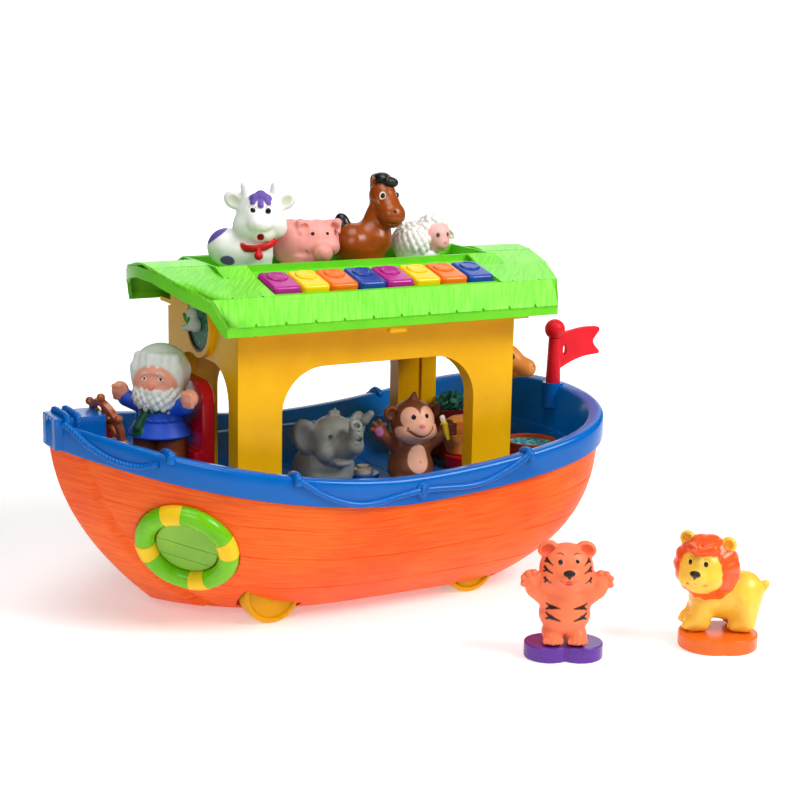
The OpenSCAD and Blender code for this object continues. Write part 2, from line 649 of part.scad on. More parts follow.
// Ship's wheel on its post
helm_shaft_r = 2.5;
knob_n = 6;
helm_post_x = -159;
module on_helm() translate([helm_x, 0, helm_z]) rotate([0, 90 - helm_lean, helm_yaw]) children();
module helm_wheel() color("#8a3d17") on_helm() {
    rotate_extrude() translate([helm_r, 0]) circle(2.4);
    cylinder(h = 5.6, r = 4.5, center = true);
    translate([0, 0, -8]) cylinder(h = 7, r = helm_shaft_r);
    for (i = [0:knob_n - 1]) rotate([0, 0, 360 * i / knob_n + 12]) {
        translate([2, 0, 0]) rotate([0, 90, 0]) cylinder(h = helm_r + 1, r = 1.5);
        ball([helm_r + 4, 0, 0], 2.7);
    }
}
module helm_post() color("#d0102a") difference() {
    intersection() {
        union() {
            box([helm_x - 30, -5, foredeck_z], [helm_x + 20, 5, helm_z]);
            on_helm() translate([0, 0, -20]) cylinder(h = 18, r = 5);
        }
        on_helm() translate([-60, -20, -8.2]) cube([120, 40, 4.8]);
        box([helm_x - 30, -20, foredeck_z], [helm_x + 30, 20, helm_z + 20]);
    }
    on_helm() translate([0, 0, -20]) cylinder(h = 20, r = helm_shaft_r + run_fit);
}

// Life buoy
module lifebuoy_ring() color("#7fd321") on_buoy() difference() {
    rotate_extrude() translate([buoy_mid_r, 0]) circle(buoy_tube);
    for (a = [0:90:270]) rotate([0, 0, a + 8]) translate([0, -6, -20]) cube([60, 12, 40]);
    translate([0, 0, buoy_back - 20]) cylinder(h = 20, r = 60);
}
module lifebuoy_bands() color("#f7d53b") on_buoy() for (a = [0:90:270]) rotate([0, 0, a + 8])
    intersection() {
        rotate_extrude() translate([buoy_mid_r, 0]) circle(buoy_tube + 0.3);
        translate([0, -5.9, buoy_back]) cube([60, 11.8, 40]);
    }
module lifebuoy_panel() color("#86b02f") on_buoy() {
    translate([0, 0, buoy_seat - buoy_seat_t - 1]) cylinder(h = buoy_seat_t + 3, r = panel_r);
    translate([0, 0, buoy_seat - buoy_seat_t - 2.1]) cylinder(h = 2, r = panel_r + 1.8);
}

// Flag: pole with a spigot in the socket, ball and a swallow-tailed flag
module flag() color("#ef2b3c") translate([pole_x, 0, pole_z]) {
    translate([0, 0, -spigot_l + 1]) cylinder(h = spigot_l, r = spigot_r);
    translate([0, 0, 0.1]) cylinder(h = pole_l, r = pole_r);
    ball([0, 0, pole_l + 5], flag_ball_r);
    rotate([90, 0, 0]) linear_extrude(3.4, center = true) difference() {
        polygon([[pole_r - 1, pole_l - 24], [39, pole_l - 15], [32.4, pole_l - 5.6], [38.6, pole_l + 3],
            [35, pole_l + 4.8], [pole_r - 1, pole_l + 1]]);
        translate([8.4, pole_l - 10.4]) circle(1.8);
    }
}

// Bath tub with water, trough with hay, button on the deck
bath_at = [stern_mid_x + stern_len - 36.75, -13];
module bath_tub() color("#d9571c") translate([bath_at[0], bath_at[1], deck_z]) difference() {
    cylinder(h = bath_h, r1 = bath_r - 2, r2 = bath_r);
    translate([0, 0, 2.5]) cylinder(h = bath_h, r1 = bath_r - 4.4, r2 = bath_r - 1.9);
}
module bath_water() color("#2fa9c4") translate([bath_at[0], bath_at[1], deck_z + 2.55])
    cylinder(h = bath_h - 4.5, r1 = bath_r - 4.6, r2 = bath_r - 2.6);
trough_at = [109, 35];
trough_l = 26;
trough_w = 15;
trough_h = 36;
module trough_cut(d) translate([trough_at[0] - trough_l / 2 + d, trough_at[1] - trough_w / 2 + d, deck_z + d])
    cube([trough_l - 2 * d, trough_w - 2 * d, trough_h]);
module hay_trough() color("#7c1f14") difference() {
    trough_cut(0);
    trough_cut(2.2);
}
module hay() color("#2b7d5d") {
    translate([0, 0, 0.05]) intersection() {
        trough_cut(2.3);
        box([0, 0, deck_z], [200, 100, deck_z + trough_h - 1]);
    }
    for (i = [-1:1]) ball([trough_at[0] + 6.4 * i, trough_at[1], deck_z + trough_h + 3], 6 - abs(i));
}
module deck_button() color("#e8dfc9") translate([button_at[0], button_at[1], deck_z + boss_h - 6]) {
    cylinder(h = 6 + 3, r = button_r);
    cylinder(h = 6 + 5, r = button_r * 0.62);
}

// Figures: each faces -Y in its own frame, with its feet at the origin
module place(at, turn) translate([at[0], at[1], at[2] + stand_gap]) rotate([0, 0, -turn]) children();
module pair() { children(); mirror([1, 0, 0]) children(); }

module captain() color("#2a50b8") place([-134, -10, foredeck_z + pan_t], 54) {
    pair() {
        translate([8.5, -2, 0]) cylinder(h = 13, r = 8);
        limb([13, -1, 33.5], [24, -5, 38.5], 6, 5.4);
        ball([26, -6, 43.5], 6.4);
    }
    translate([0, 0, 12]) cylinder(h = 24, r1 = 18, r2 = 12.5);
    ball([0, 0, 34.5], 14);
    ball([0, -2, 52.5], 17.4);
    ball([0, 2, 55.5], 18);
    ball([0, -9, 45.5], 13);
}
module cow() color("#f4f2f0") place([-66, 0, recess_z], -12) {
    translate([0, 3, 0]) cylinder(h = 16, r = 15);
    limb([-2, 2, 15], [-14, 8, 20], 15, 12);
    limb([0, -2, 18], [3, -5, 36], 13, 12);
    ball([3, -6, 40], 13.5);
    ball([3, -12, 33], 10.5);
    limb([-6, 2, 46], [-13.5, 6, 52.5], 5, 3.6);
    limb([10, -9, 46], [18.4, -15, 52], 5, 3.6);
    limb([-3, 2, 50], [-4.6, 1.4, 59], 2.8, 2);
    limb([9, -8, 50], [11.4, -10, 59], 2.8, 2);
}
module pig() color("#f2a6a6") place([-25, 2, recess_z], -24) {
    translate([0, 0, 0]) cylinder(h = 14, r = 15);
    limb([-5, 6, 17], [5, -3, 19], 15, 14);
    ball([5, -5, 24], 14.5);
    limb([6, -14, 22], [6, -19, 22], 6, 5.2);
    translate([5, -3, 30]) pair() limb([7, 0, 0], [12, 0, 6], 4, 2);
}
module horse() color("#8b4a24") place([21, 2, recess_z], -35) {
    translate([0, 4, 0]) cylinder(h = 16, r = 14);
    limb([-6, 8, 19], [4, -2, 21], 14, 12);
    limb([4, -2, 22], [11, -5, 43], 11, 8);
    ball([11, -6, 50], 9.6);
    ball([5, -12.4, 42], 8.8);
    ball([11, -6, 59], 5.6);
    ball([-7, 15, 30], 4.6);
}
module sheep() color("#f3f1ee") place([63, 3, recess_z], -34) {
    translate([0, 2, 0]) cylinder(h = 12, r = 14);
    limb([-4, 5, 16], [4, 0, 18], 14, 13);
    ball([5, -6, 24], 11.5);
    ball([4, -3, 29], 8.5);
    ball([6, -13, 22], 7.5);
}
module elephant() color("#8d9196") place([-19, -20, deck_z], -2) {
    translate([0, 2, 0]) cylinder(h = 14, r = 17);
    limb([-4, 5, 18], [3, 0, 20], 18, 17);
    ball([2, -6, 36], 15.5);
    pair() limb([13, -1, 38], [21, 1, 41], 6.5, 6);
    pair() limb([14, 0, 34], [19, 0, 29], 6, 5);
    limb([5, -19, 33], [7, -22, 40], 6, 5);
    limb([7, -22, 40], [8, -21, 46], 4.8, 5);
    ball([1, -6, 50], 5);
}
module monkey() color("#8a4f2c") place([42, -25.5, deck_z], 14) {
    pair() limb([8, -3, 5.2], [10, -7, 5.2], 5.1, 5);
    limb([0, 0, 16], [0, 0, 27], 15.5, 13);
    ball([0, -2, 45], 15.5);
    ball([0, -8, 41], 12.5);
    pair() ball([15, 0, 50], 5);
    pair() limb([12, -2, 28], [23, -5, 38], 5.4, 5);
    pair() ball([24, -5, 41], 5.4);
    limb([0, -1, 58], [1, -2, 62.5], 4, 2.4);
}
giraffe_at = [104, 3, deck_z];
module giraffe() color("#e8924a") place(giraffe_at + [0, 0, base_t + stand_gap], -46) {
    translate([0, 4, 0]) cylinder(h = 12, r = 11);
    limb([0, 6, 16], [0, -6, 19], 12.5, 11.5);
    limb([0, -8, 20], [0, -23, 66], 9, 6.5);
    limb([0, -27, 72], [0, -41, 66], 9.4, 7);
    pair() limb([3, -23, 77.6], [4, -22, 79.4], 2, 2);
}
module giraffe_base() color("#c9152b") place(giraffe_at, 0)
    cylinder(h = base_t, r = 16);
lion_at = [157.4, -219.7, floor_z];
module lion_base() color("#f5781d") translate(lion_at) rotate([0, 0, -26]) linear_extrude(base_t) lobes(4.5, 20.5);
module lion() color("#f6c04a") place(lion_at + [0, 0, base_t], 80) {
    pair() limb([8, -13, 6.3], [8, -8, 17], 6.2, 6.2);
    pair() limb([9, 12, 6.3], [9, 13, 17], 6.2, 6.2);
    limb([0, -2, 23], [0, 14, 23], 13.2, 13.2);
    ball([0, -13, 39], 20.8);
    ball([0, -31, 34], 8);
    limb([0, 22, 20], [1, 29, 27], 4.4, 5.4);
    pair() ball([12, -11, 56], 4.6);
}
tiger_at = [58.7, -192.3, floor_z];
module tiger_base() color("#6a35a8") translate(tiger_at) rotate([0, 0, -27]) linear_extrude(base_t) lobes(9.5, 15);
module tiger() color("#f07a4d") place(tiger_at + [0, 0, base_t], 28) {
    pair() limb([6, -5, 6.4], [6, 1, 6.4], 6.3, 6.2);
    limb([0, 0, 13.7], [0, 0, 24], 13.5, 12.5);
    ball([0, -1, 42], 16.4);
    ball([0, -7, 37.5], 12.6);
    pair() ball([12, 0, 54.5], 4.8);
    pair() limb([9, -1, 24], [21, -4, 35], 5.6, 5.6);
    pair() ball([23.5, -5, 39], 6.4);
}
// Two discs side by side, joined in the middle
module lobes(off, r) union() {
    for (s = [-1, 1]) translate([s * off, 0]) circle(r);
    translate([-off, -r * 0.72]) square([2 * off, 1.64 * r]);
}

hull_shell();
deck_tub();
hull_screws();
wheel_front_port();
wheel_front_starboard();
wheel_rear_port();
wheel_rear_starboard();
axle_front();
axle_rear();
cabin_wall_port();
cabin_wall_starboard();
cabin_wall_bow();
cabin_wall_stern();
cabin_screws();
ceiling_frame();
roof_shell();
roof_screws();
key_1();
key_2();
key_3();
key_4();
key_5();
key_6();
key_7();
key_8();
key_mat();
key_board();
speaker();
battery_cells();
battery_door();
clock_bezel();
clock_dial();
clock_hand();
captain_seat();
helm_wheel();
helm_post();
lifebuoy_ring();
lifebuoy_bands();
lifebuoy_panel();
flag();
bath_tub();
bath_water();
hay_trough();
hay();
deck_button();
captain();
cow();
pig();
horse();
sheep();
elephant();
monkey();
giraffe();
giraffe_base();
lion();
lion_base();
tiger();
tiger_base();
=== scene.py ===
# Toy ark with piano keys in its roof and ten loose figures: the dressed model.
# It is built as the toy is put together. Sizes are in millimetres, the bow points to -X.
import bpy
import bmesh
import numpy as np
from math import atan, atan2, cos, degrees, pi, radians, sin, sqrt
from mathutils import Matrix, Vector


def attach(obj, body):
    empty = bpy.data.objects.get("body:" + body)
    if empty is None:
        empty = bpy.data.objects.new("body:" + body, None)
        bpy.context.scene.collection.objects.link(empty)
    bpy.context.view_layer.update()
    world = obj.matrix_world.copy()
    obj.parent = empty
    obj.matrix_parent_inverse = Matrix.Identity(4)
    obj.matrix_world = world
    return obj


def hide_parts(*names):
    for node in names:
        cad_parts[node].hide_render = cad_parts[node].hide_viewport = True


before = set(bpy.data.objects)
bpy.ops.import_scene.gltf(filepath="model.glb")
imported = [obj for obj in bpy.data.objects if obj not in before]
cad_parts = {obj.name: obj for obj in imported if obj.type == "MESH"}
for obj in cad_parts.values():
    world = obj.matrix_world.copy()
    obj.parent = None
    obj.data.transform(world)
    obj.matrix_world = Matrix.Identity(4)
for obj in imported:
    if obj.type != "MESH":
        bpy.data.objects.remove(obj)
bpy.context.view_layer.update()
MM = 0.001

# Camera, floor and light: the toy stands on a pale table in a white studio, lit from the upper right by a
# large soft panel, from above by a second and weakly from the left. The table also glows a little as painted
# light, and beyond about a metre to the sides and in front it is painted dark as painted shade.
scene = bpy.context.scene
look = bpy.data.cameras.new("camera")
look.lens, look.sensor_width = 78.533, 36
camera = bpy.data.objects.new("camera", look)
turned = Matrix(((0.8759, -0.482, 0.0192), (0.0849, 0.1933, 0.9775), (-0.4749, -0.8546, 0.2102)))
camera.matrix_world = Matrix.Translation((-0.5288, -1.0359, 0.3719)) @ turned.transposed().to_4x4()
scene.collection.objects.link(camera)
scene.camera = camera
scene.view_settings.view_transform = "Standard"


def rgb(code):
    """Linear colour from a six-digit code."""
    parts = [int(code[i:i + 2], 16) / 255 for i in (1, 3, 5)]
    return tuple((c / 12.92 if c < 0.04045 else ((c + 0.055) / 1.055) ** 2.4) for c in parts) + (1,)


toy_middle = Vector((0, 0, 0.1))
for name, place, size, watts in (("key_panel", (0.75, -1.0, 1.05), 0.7, 18),
                                 ("top_panel", (-0.25, -0.25, 1.5), 0.9, 9.5),
                                 ("fill_panel", (-0.95, -1.1, 0.85), 0.8, 7)):
    lamp = bpy.data.lights.new(name, "AREA")
    lamp.shape, lamp.size, lamp.energy = "DISK", size, watts
    holder = bpy.data.objects.new(name, lamp)
    holder.location = place
    holder.rotation_euler = (toy_middle - Vector(place)).to_track_quat("-Z", "Y").to_euler()
    scene.collection.objects.link(holder)
sky = bpy.data.worlds.new("studio")
sky.use_nodes = True
dome = sky.node_tree.nodes["Background"].inputs
dome["Color"].default_value, dome["Strength"].default_value = (1, 1, 1, 1), 0.16
scene.world = sky


class Term:
    """A socket in an expression; each operator adds its Math node."""

    def __init__(self, paint, socket):
        self.paint, self.socket = paint, socket

    def maths(self, how, a, b):
        return self.paint.node("Math", {"operation": how}, {0: a, 1: b})

    def __add__(self, other):
        return self.maths("ADD", self, other)

    def __radd__(self, other):
        return self.maths("ADD", other, self)

    def __sub__(self, other):
        return self.maths("SUBTRACT", self, other)

    def __rsub__(self, other):
        return self.maths("SUBTRACT", other, self)

    def __mul__(self, other):
        return self.maths("MULTIPLY", self, other)

    def __rmul__(self, other):
        return self.maths("MULTIPLY", other, self)

    def __gt__(self, other):
        return self.maths("GREATER_THAN", self, other)

    def step(self, low, high):
        """0 below `low`, 1 above `high`, smooth between."""
        return self.paint.node("MapRange", {"interpolation_type": "SMOOTHSTEP"},
                               {"Value": self, "From Min": low, "From Max": high})


class Paint:
    """A material in the making; `fixed` sets the shader's own sockets."""

    def __init__(self, name, fixed):
        self.material = bpy.data.materials.new(name)
        self.material.use_nodes = True
        self.tree = self.material.node_tree
        self.shader = self.tree.nodes["Principled BSDF"]
        self.feed(fixed)

    def feed(self, values):
        for key, value in values.items():
            self.put(self.shader.inputs[key], value)

    def put(self, socket, value):
        if isinstance(value, Term):
            self.tree.links.new(value.socket, socket)
        else:
            socket.default_value = value

    def node(self, kind, settings, values, out=0):
        made = self.tree.nodes.new("ShaderNode" + kind)
        for key, value in settings.items():
            setattr(made, key, value)
        for key, value in values.items():
            named = [s for s in made.inputs if s.identifier == key]
            self.put(named[0] if named else made.inputs[key], value)
        found = [s for s in made.outputs if s.identifier == out]
        return Term(self, found[0] if found else made.outputs[out])

    def place(self):
        return self.node("TexCoord", {}, {}, "Object")

    def stretched(self, where, size):
        return self.node("Mapping", {}, {"Vector": where, "Scale": size})

    def noise(self, where, scale, detail=2.0, rough=0.5, warp=0.0):
        return self.node("TexNoise", {}, {"Vector": where, "Scale": scale, "Detail": detail,
                                          "Roughness": rough, "Distortion": warp}, "Fac")

    def blend(self, mask, a, b):
        return self.node("Mix", {"data_type": "RGBA"}, {"Factor_Float": mask, "A_Color": a,
                                                       "B_Color": b}, "Result_Color")

    def vector(self, how, a, b, out="Vector"):
        return self.node("VectorMath", {"operation": how}, {0: a, 1: b}, out)

    def bump(self, height, deep, strength=1.0, under=None):
        values = {"Height": height, "Distance": deep * MM, "Strength": strength}
        if under is not None:
            values["Normal"] = under
        return self.node("Bump", {}, values, "Normal")


def moulded(name, colour, deep, rough=0.3, coat=0.0, peel=0.05):
    """Injection-moulded plastic: faint flow marks, a slight orange peel, uneven gloss."""
    p = Paint(name, {"Roughness": rough, "Coat Weight": coat, "Coat Roughness": 0.12,
                     "Specular IOR Level": 0.2})
    where = p.place()
    flow = p.noise(where, 38, 3, 0.55, 0.6)
    fine = p.noise(where, 820, 2)
    p.feed({"Base Color": p.blend((flow - 0.25) * 1.1, rgb(deep), rgb(colour)),
            "Roughness": rough + 0.10 * (flow - 0.5) + 0.06 * (fine - 0.5),
            "Normal": p.bump(fine, peel * 0.5, 0.4, p.bump(p.noise(where, 70, 2), peel * 1.6, 0.4))})
    return p.material


# The table's emission is painted light: it makes the floor glow, though the floor is no lamp.
floor_paint = Paint("table", {"Roughness": 0.85, "Specular IOR Level": 0.2, "Emission Strength": 1})
where = floor_paint.place()
cloth = floor_paint.blend(floor_paint.noise(where, 3), (0.93, 0.93, 0.93, 1), (0.97, 0.97, 0.97, 1))
# White paper in the view and behind it, which glows as painted light, 0.3 in front of the toy to 0.8 behind;
# beyond about a metre to the left, right and front, dark floor that paints shade and dark reflections on the
# toy
depth = floor_paint.vector("DOT_PRODUCT", where, (0.485, 0.874, 0), "Value")
aside = floor_paint.vector("DOT_PRODUCT", where, (0.876, -0.482, 0), "Value")
painted_dark_zone = (aside * aside).step(0.95, 1.4) + (depth * -1).step(0.7, 0.9)
painted_glow = floor_paint.blend(depth.step(0.1, 1.0), (0.3, 0.3, 0.3, 1), (0.8, 0.8, 0.8, 1))
floor_paint.feed({"Base Color": floor_paint.blend(painted_dark_zone, cloth, (0.12, 0.12, 0.12, 1)),
                  "Emission Color": floor_paint.blend(painted_dark_zone, painted_glow, (0, 0, 0, 1))})
sweep = [(1.7 + 0.9 * sin(a), 0.9 - 0.9 * cos(a)) for a in np.linspace(0, pi / 2, 13)] + [(2.6, 3.2)]
spokes, table_z = 64, -0.0076
around = np.linspace(0, 2 * pi, spokes, endpoint=False)
points = [(r * cos(a), r * sin(a), z + table_z) for r, z in sweep for a in around] + [(0, 0, table_z)]
faces = [(i, (i + 1) % spokes, spokes * len(sweep)) for i in range(spokes)]
for k in range(len(sweep) - 1):
    for i in range(spokes):
        low, high = spokes * k, spokes * k + spokes
        faces.append((low + (i + 1) % spokes, low + i, high + i, high + (i + 1) % spokes))
table_mesh = bpy.data.meshes.new("table")
table_mesh.from_pydata(points, [], faces)
table_mesh.shade_smooth()
table = bpy.data.objects.new("table", table_mesh)
table_mesh.materials.append(floor_paint.material)
scene.collection.objects.link(table)

# Hull: one shell of orange polypropylene with plank seams, a smooth stem band round the
# bow and wheel wells, blow-thin walls. The deck moulding drops in and is screwed from below.
half_beam, bow_mid, bow_len, stern_mid, stern_len = 108.75, -6.25, 200, 43.75, 140
rim_z, bow_rise, stern_rise, band_h, tub_t = 92.5, 35, 27.5, 17.5, 2.4
hull_in, hull_t = 3, 2.5


def sheer(x):
    """Height of the rim at station x."""
    x = np.asarray(x, float)
    return np.where(x < bow_mid, rim_z + bow_rise * (np.maximum(bow_mid - x, 0) / bow_len) ** 1.6,
                    rim_z + stern_rise * (np.maximum(x - bow_mid, 0)
                                          / (stern_mid + stern_len - bow_mid)) ** 1.8)


def plan(bow_in, stern_in, side_in, count=150):
    """Closed rim outline, moved in by the three amounts: bow tip, port side, stern, starboard."""
    a = np.linspace(0, pi / 2, 1500)
    bow = np.c_[bow_mid - (bow_len - bow_in) * np.sin(a) ** (2 / 3),
                -(half_beam - side_in) * np.cos(a) ** (2 / 1.1)][::-1]
    stern = np.c_[stern_mid + (stern_len - stern_in) * np.sin(a) ** (2 / 5),
                  -(half_beam - side_in) * np.cos(a) ** (2 / 1.9)]
    bow[0, 1] = stern[-1, 1] = 0
    half = np.r_[bow, stern]
    run = np.r_[0, np.cumsum(np.linalg.norm(np.diff(half, axis=0), axis=1))]
    even = np.linspace(0, run[-1], count)
    half = np.c_[np.interp(even, run, half[:, 0]), np.interp(even, run, half[:, 1])]
    return np.r_[half, (half * [1, -1])[-2:0:-1]]


def fullness(start, power, s):
    return start + (1 - start) * (1 - (1 - s) ** power)


def hull_rings(inset, levels, base, top, count=150):
    q = plan(inset, inset, inset, count)
    rings = []
    for s in levels:
        along = np.where(q[:, 0] < bow_mid, fullness(0.655, 2.05, s), fullness(0.68, 2.85, s))
        rings.append(np.c_[bow_mid + (q[:, 0] - bow_mid) * along, q[:, 1] * fullness(0.58, 3, s),
                           base + s * (sheer(q[:, 0]) - top - base)])
    return np.array(rings)


def skin_of(rings, closed=False):
    """Faces between rings of equal length, with a flat face at each end unless closed."""
    m, n = rings.shape[:2]
    faces = [(j * n + i, j * n + (i + 1) % n, (j + 1) % m * n + (i + 1) % n, (j + 1) % m * n + i)
             for j in range(m if closed else m - 1) for i in range(n)]
    if not closed:
        faces += [tuple(range(n))[::-1], tuple((m - 1) * n + i for i in range(n))]
    return rings.reshape(-1, 3), faces


def shade(obj, angle=35):
    """Smooth surfaces, with a crisp line where two faces meet at more than the angle."""
    obj.data.shade_smooth()
    obj.data.set_sharp_from_angle(angle=radians(angle))
    return obj


def piece(name, points, faces, angle=35):
    mesh = bpy.data.meshes.new(name)
    mesh.from_pydata((np.asarray(points, float) * MM).tolist(), [], faces)
    obj = bpy.data.objects.new(name, mesh)
    scene.collection.objects.link(obj)
    return shade(obj, angle)


def face_out(obj):
    """Merges doubles and turns every face outwards."""
    join, work = 1e-6, bmesh.new()
    work.from_mesh(obj.data)
    bmesh.ops.remove_doubles(work, verts=work.verts, dist=join)
    bmesh.ops.dissolve_degenerate(work, edges=work.edges, dist=join)
    bmesh.ops.recalc_face_normals(work, faces=work.faces)
    work.to_mesh(obj.data)
    work.free()
    return obj


def settle(obj):
    """Makes the modified shape the object's plain mesh."""
    graph = bpy.context.evaluated_depsgraph_get()
    mesh = bpy.data.meshes.new_from_object(obj.evaluated_get(graph), preserve_all_data_layers=True,
                                           depsgraph=graph)
    obj.modifiers.clear()
    obj.data = mesh
    return obj


def carve(obj, tool, how="DIFFERENCE"):
    """Boolean with another object, which is used up."""
    cut = obj.modifiers.new("carve", "BOOLEAN")
    cut.object, cut.operation, cut.solver = tool, how, "EXACT"
    settle(obj)
    bpy.data.objects.remove(tool)
    return obj


def joined(name, shapes):
    """One mesh from several (points, faces) pairs."""
    points, faces, start = [], [], 0
    for more, sides in shapes:
        points.append(np.asarray(more, float))
        faces += [tuple(start + i for i in side) for side in sides]
        start += len(more)
    return piece(name, np.concatenate(points), faces)


def turned_shape(profile, steps=96, move=None):
    """Lathe: radius and height pairs, from the axis out and back, turned round Z."""
    profile = np.array(profile, float)
    a = np.linspace(0, 2 * pi, steps, endpoint=False)
    rings = np.array([np.c_[r * np.cos(a), r * np.sin(a), np.full(steps, z)] for r, z in profile])
    points, faces = skin_of(rings)
    return (moved(points, move) if move is not None else points), faces


def moved(points, how):
    return np.asarray(points) @ np.array(how.to_3x3()).T + np.array(how.translation)


def at(x, y, z, turn=0, dip=0, roll=0):
    """Place in millimetres: turn about Z, then dip about X, then roll about Z again."""
    return (Matrix.Translation((x, y, z)) @ Matrix.Rotation(radians(turn), 4, "Z")
            @ Matrix.Rotation(radians(dip), 4, "X") @ Matrix.Rotation(radians(roll), 4, "Z"))


def fit(obj, material, body, *nodes, slot):
    """Puts a finished piece in its place on the toy."""
    obj.data.materials.clear()
    obj.data.materials.append(material)
    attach(obj, body)
    if nodes:
        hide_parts(*nodes)
    return obj


def dress(material, *nodes):
    """Gives the frame's own parts their finish."""
    for name in nodes:
        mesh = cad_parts[name].data
        mesh.materials.clear()
        mesh.materials.append(material)


seams = (0.665, 0.45, 0.205)
levels = np.unique(np.round(np.concatenate(
    [np.linspace(0, 1, 46) ** 1.15] + [s + np.array([-0.010, -0.005, 0, 0.005, 0.010]) for s in seams]), 4))
levels = levels[np.r_[True, np.diff(levels) > 0.002]]
outer = hull_rings(hull_in, levels, 0, tub_t + 0.1)
out = np.cross(np.roll(outer, -1, 1) - np.roll(outer, 1, 1), np.gradient(outer, axis=0))
out /= np.linalg.norm(out, axis=2, keepdims=True) + 1e-9
if (out[20, 40] * [0, -1, 0]).sum() < 0:
    out = -out
stem_w = np.interp(levels, [0, 0.05, 0.2, 0.6, 1], [33, 31, 28.5, 25, 20])[:, None]
ahead = outer[..., 0] < -60
edge = np.abs(outer[..., 1]) - stem_w
stem = np.where(ahead, 1 / (1 + np.exp(np.clip(edge * 2.2, -40, 40))), 0)
groove = sum(np.exp(-((levels[:, None] - s) / 0.0042) ** 2) for s in seams)
crease = np.where(ahead, np.exp(-(edge - 1.9) ** 2 / 3.4), 0)
proud = 1.6 * stem - 0.55 * groove * (1 - stem) - 1.5 * crease
proud[[0, -1]] = 0
outer = outer + out * proud[..., None]
inner = hull_rings(hull_in + hull_t, (1, 0.86, 0.65, 0.42, 0.22, 0.08, 0), hull_t, tub_t + 0.1)
rings = np.concatenate([outer, inner])
hull = piece("hull", *skin_of(rings))
distance = np.r_[0, np.cumsum(np.linalg.norm(np.diff(outer[-1], axis=0), axis=1))]
chart = hull.data.uv_layers.new(name="planks")
n_around = rings.shape[1]
spot = np.empty(len(hull.data.loops), int)
hull.data.loops.foreach_get("vertex_index", spot)
ring_of, step_of = spot // n_around, spot % n_around
v_of = np.r_[levels, np.zeros(len(inner))][ring_of]
wrap = np.minimum(distance[step_of], distance[-1] + 3 - distance[step_of])
chart.data.foreach_set("uv", np.c_[wrap * MM, v_of * 0.1].ravel())
wheel_size = dict(r=19.5, w=14, gap=1.8, wall=2, y=61.5, z=12, front=-77.5, rear=71)


def wheel_wells(grow):
    """Four cylinders round the wheels, `grow` larger than the free space."""
    r = wheel_size["r"] + wheel_size["gap"] + grow
    deep = wheel_size["w"] + 2 * wheel_size["gap"] + 2 * grow
    shapes = []
    for side in (-1, 1):
        for x in (wheel_size["front"], wheel_size["rear"]):
            middle = side * (wheel_size["y"] - wheel_size["w"] / 2)
            shapes.append(disc(r, -deep / 2, deep / 2, at(x, middle, wheel_size["z"], 0, 90)))
    return face_out(joined("wells", shapes))


buoy_r, buoy_tube, buoy_turn, buoy_dip = 33.8, 6.4, -42.7, 26.7
on_buoy = at(-136.5, -60.1, 50.7, buoy_turn, 90 + buoy_dip)
buoy_back, panel_r = -2.2, buoy_r - 2 * buoy_tube - 0.7


def disc(r, low, high, where, steps=96):
    return turned_shape([(0, low), (r, low), (r, high), (0, high)], steps, where)


def together(name, *parts):
    """One object from several, each keeping its own closed skin."""
    work = bmesh.new()
    for part in parts:
        work.from_mesh(part.data)
    mesh = bpy.data.meshes.new(name)
    work.to_mesh(mesh)
    work.free()
    for part in parts:
        bpy.data.objects.remove(part)
    obj = bpy.data.objects.new(name, mesh)
    scene.collection.objects.link(obj)
    return obj


face_out(hull)
plug = turned_shape([(0, -20), (panel_r + 0.15, -20), (panel_r + 0.15, buoy_back - 0.1),
                     (buoy_r + 0.5, buoy_back - 0.1), (buoy_r + 0.5, 18), (0, 18)], 96, on_buoy)
carve(hull, together("openings", wheel_wells(0), face_out(joined("plug", [plug]))))
inside = hull_rings(hull_in + 0.8, levels[::3], 0.2, tub_t + 0.1)
liner = carve(wheel_wells(wheel_size["wall"]), face_out(piece("solid", *skin_of(inside))), "INTERSECT")
carve(liner, wheel_wells(0))
seat = turned_shape([(panel_r + 0.15, buoy_back - 4.8), (buoy_r - 2.4, buoy_back - 4.8),
                     (buoy_r + 0.3, buoy_back - 0.1), (panel_r + 0.15, buoy_back - 0.1)], 96, on_buoy)
last = 3 * 96
seat = face_out(piece("seat", seat[0], [f for f in seat[1] if len(f) == 4]
                      + [(last + i, last + (i + 1) % 96, (i + 1) % 96, i) for i in range(96)]))
hull = together("hull", hull, liner, seat)
shade(hull)
hull.name = "hull"

p = Paint("hull_orange_plastic", {"Specular IOR Level": 0.2})
chart_uv = p.node("UVMap", {"uv_map": "planks"}, {}, "UV")
where = p.place()
drift = p.node("TexNoise", {}, {"Vector": where, "Scale": 14.0, "Detail": 1.0}, "Color")
drift = p.node("VectorMath", {"operation": "SCALE"}, {0: drift, "Scale": 0.006}, "Vector")
wavy = p.vector("ADD", chart_uv, drift)
grain = p.noise(p.stretched(wavy, (28, 900, 1)), 1.0, 4, 0.62)
fibre = p.noise(p.stretched(wavy, (60, 2600, 1)), 1.0, 2, 0.6)
spots = p.noise(where, 9, 2)
lines = grain * 0.75 + fibre * 0.25
p.feed({"Base Color": p.blend(p.noise(where, 16, 2).step(0.35, 0.7),
                              p.blend(lines.step(0.38, 0.62), rgb("#e8480a"), rgb("#f8641a")),
                              p.blend(lines.step(0.36, 0.6), rgb("#ee540e"), rgb("#fd7222"))),
        "Roughness": 0.40 + 0.16 * (grain - 0.5) + 0.12 * (spots - 0.5),
        "Normal": p.bump(lines, 0.30, 0.75, p.bump(p.noise(where, 600, 2), 0.05, 0.4))})
fit(hull, p.material, "ark", "hull_shell", slot="hull_orange")
steel = Paint("bright_steel", {"Metallic": 1.0})
where = steel.place()
steel.feed({"Base Color": steel.blend(steel.noise(where, 300), rgb("#8f9194"), rgb("#b9bbbd")),
            "Roughness": 0.28 + 0.2 * steel.noise(where, 900, 2),
            "Normal": steel.bump(steel.noise(steel.stretched(where, (1, 1, 12)), 900), 0.02, 0.4)})
dress(steel.material, "hull_screws", "axle_front", "axle_rear", "cabin_screws", "roof_screws")

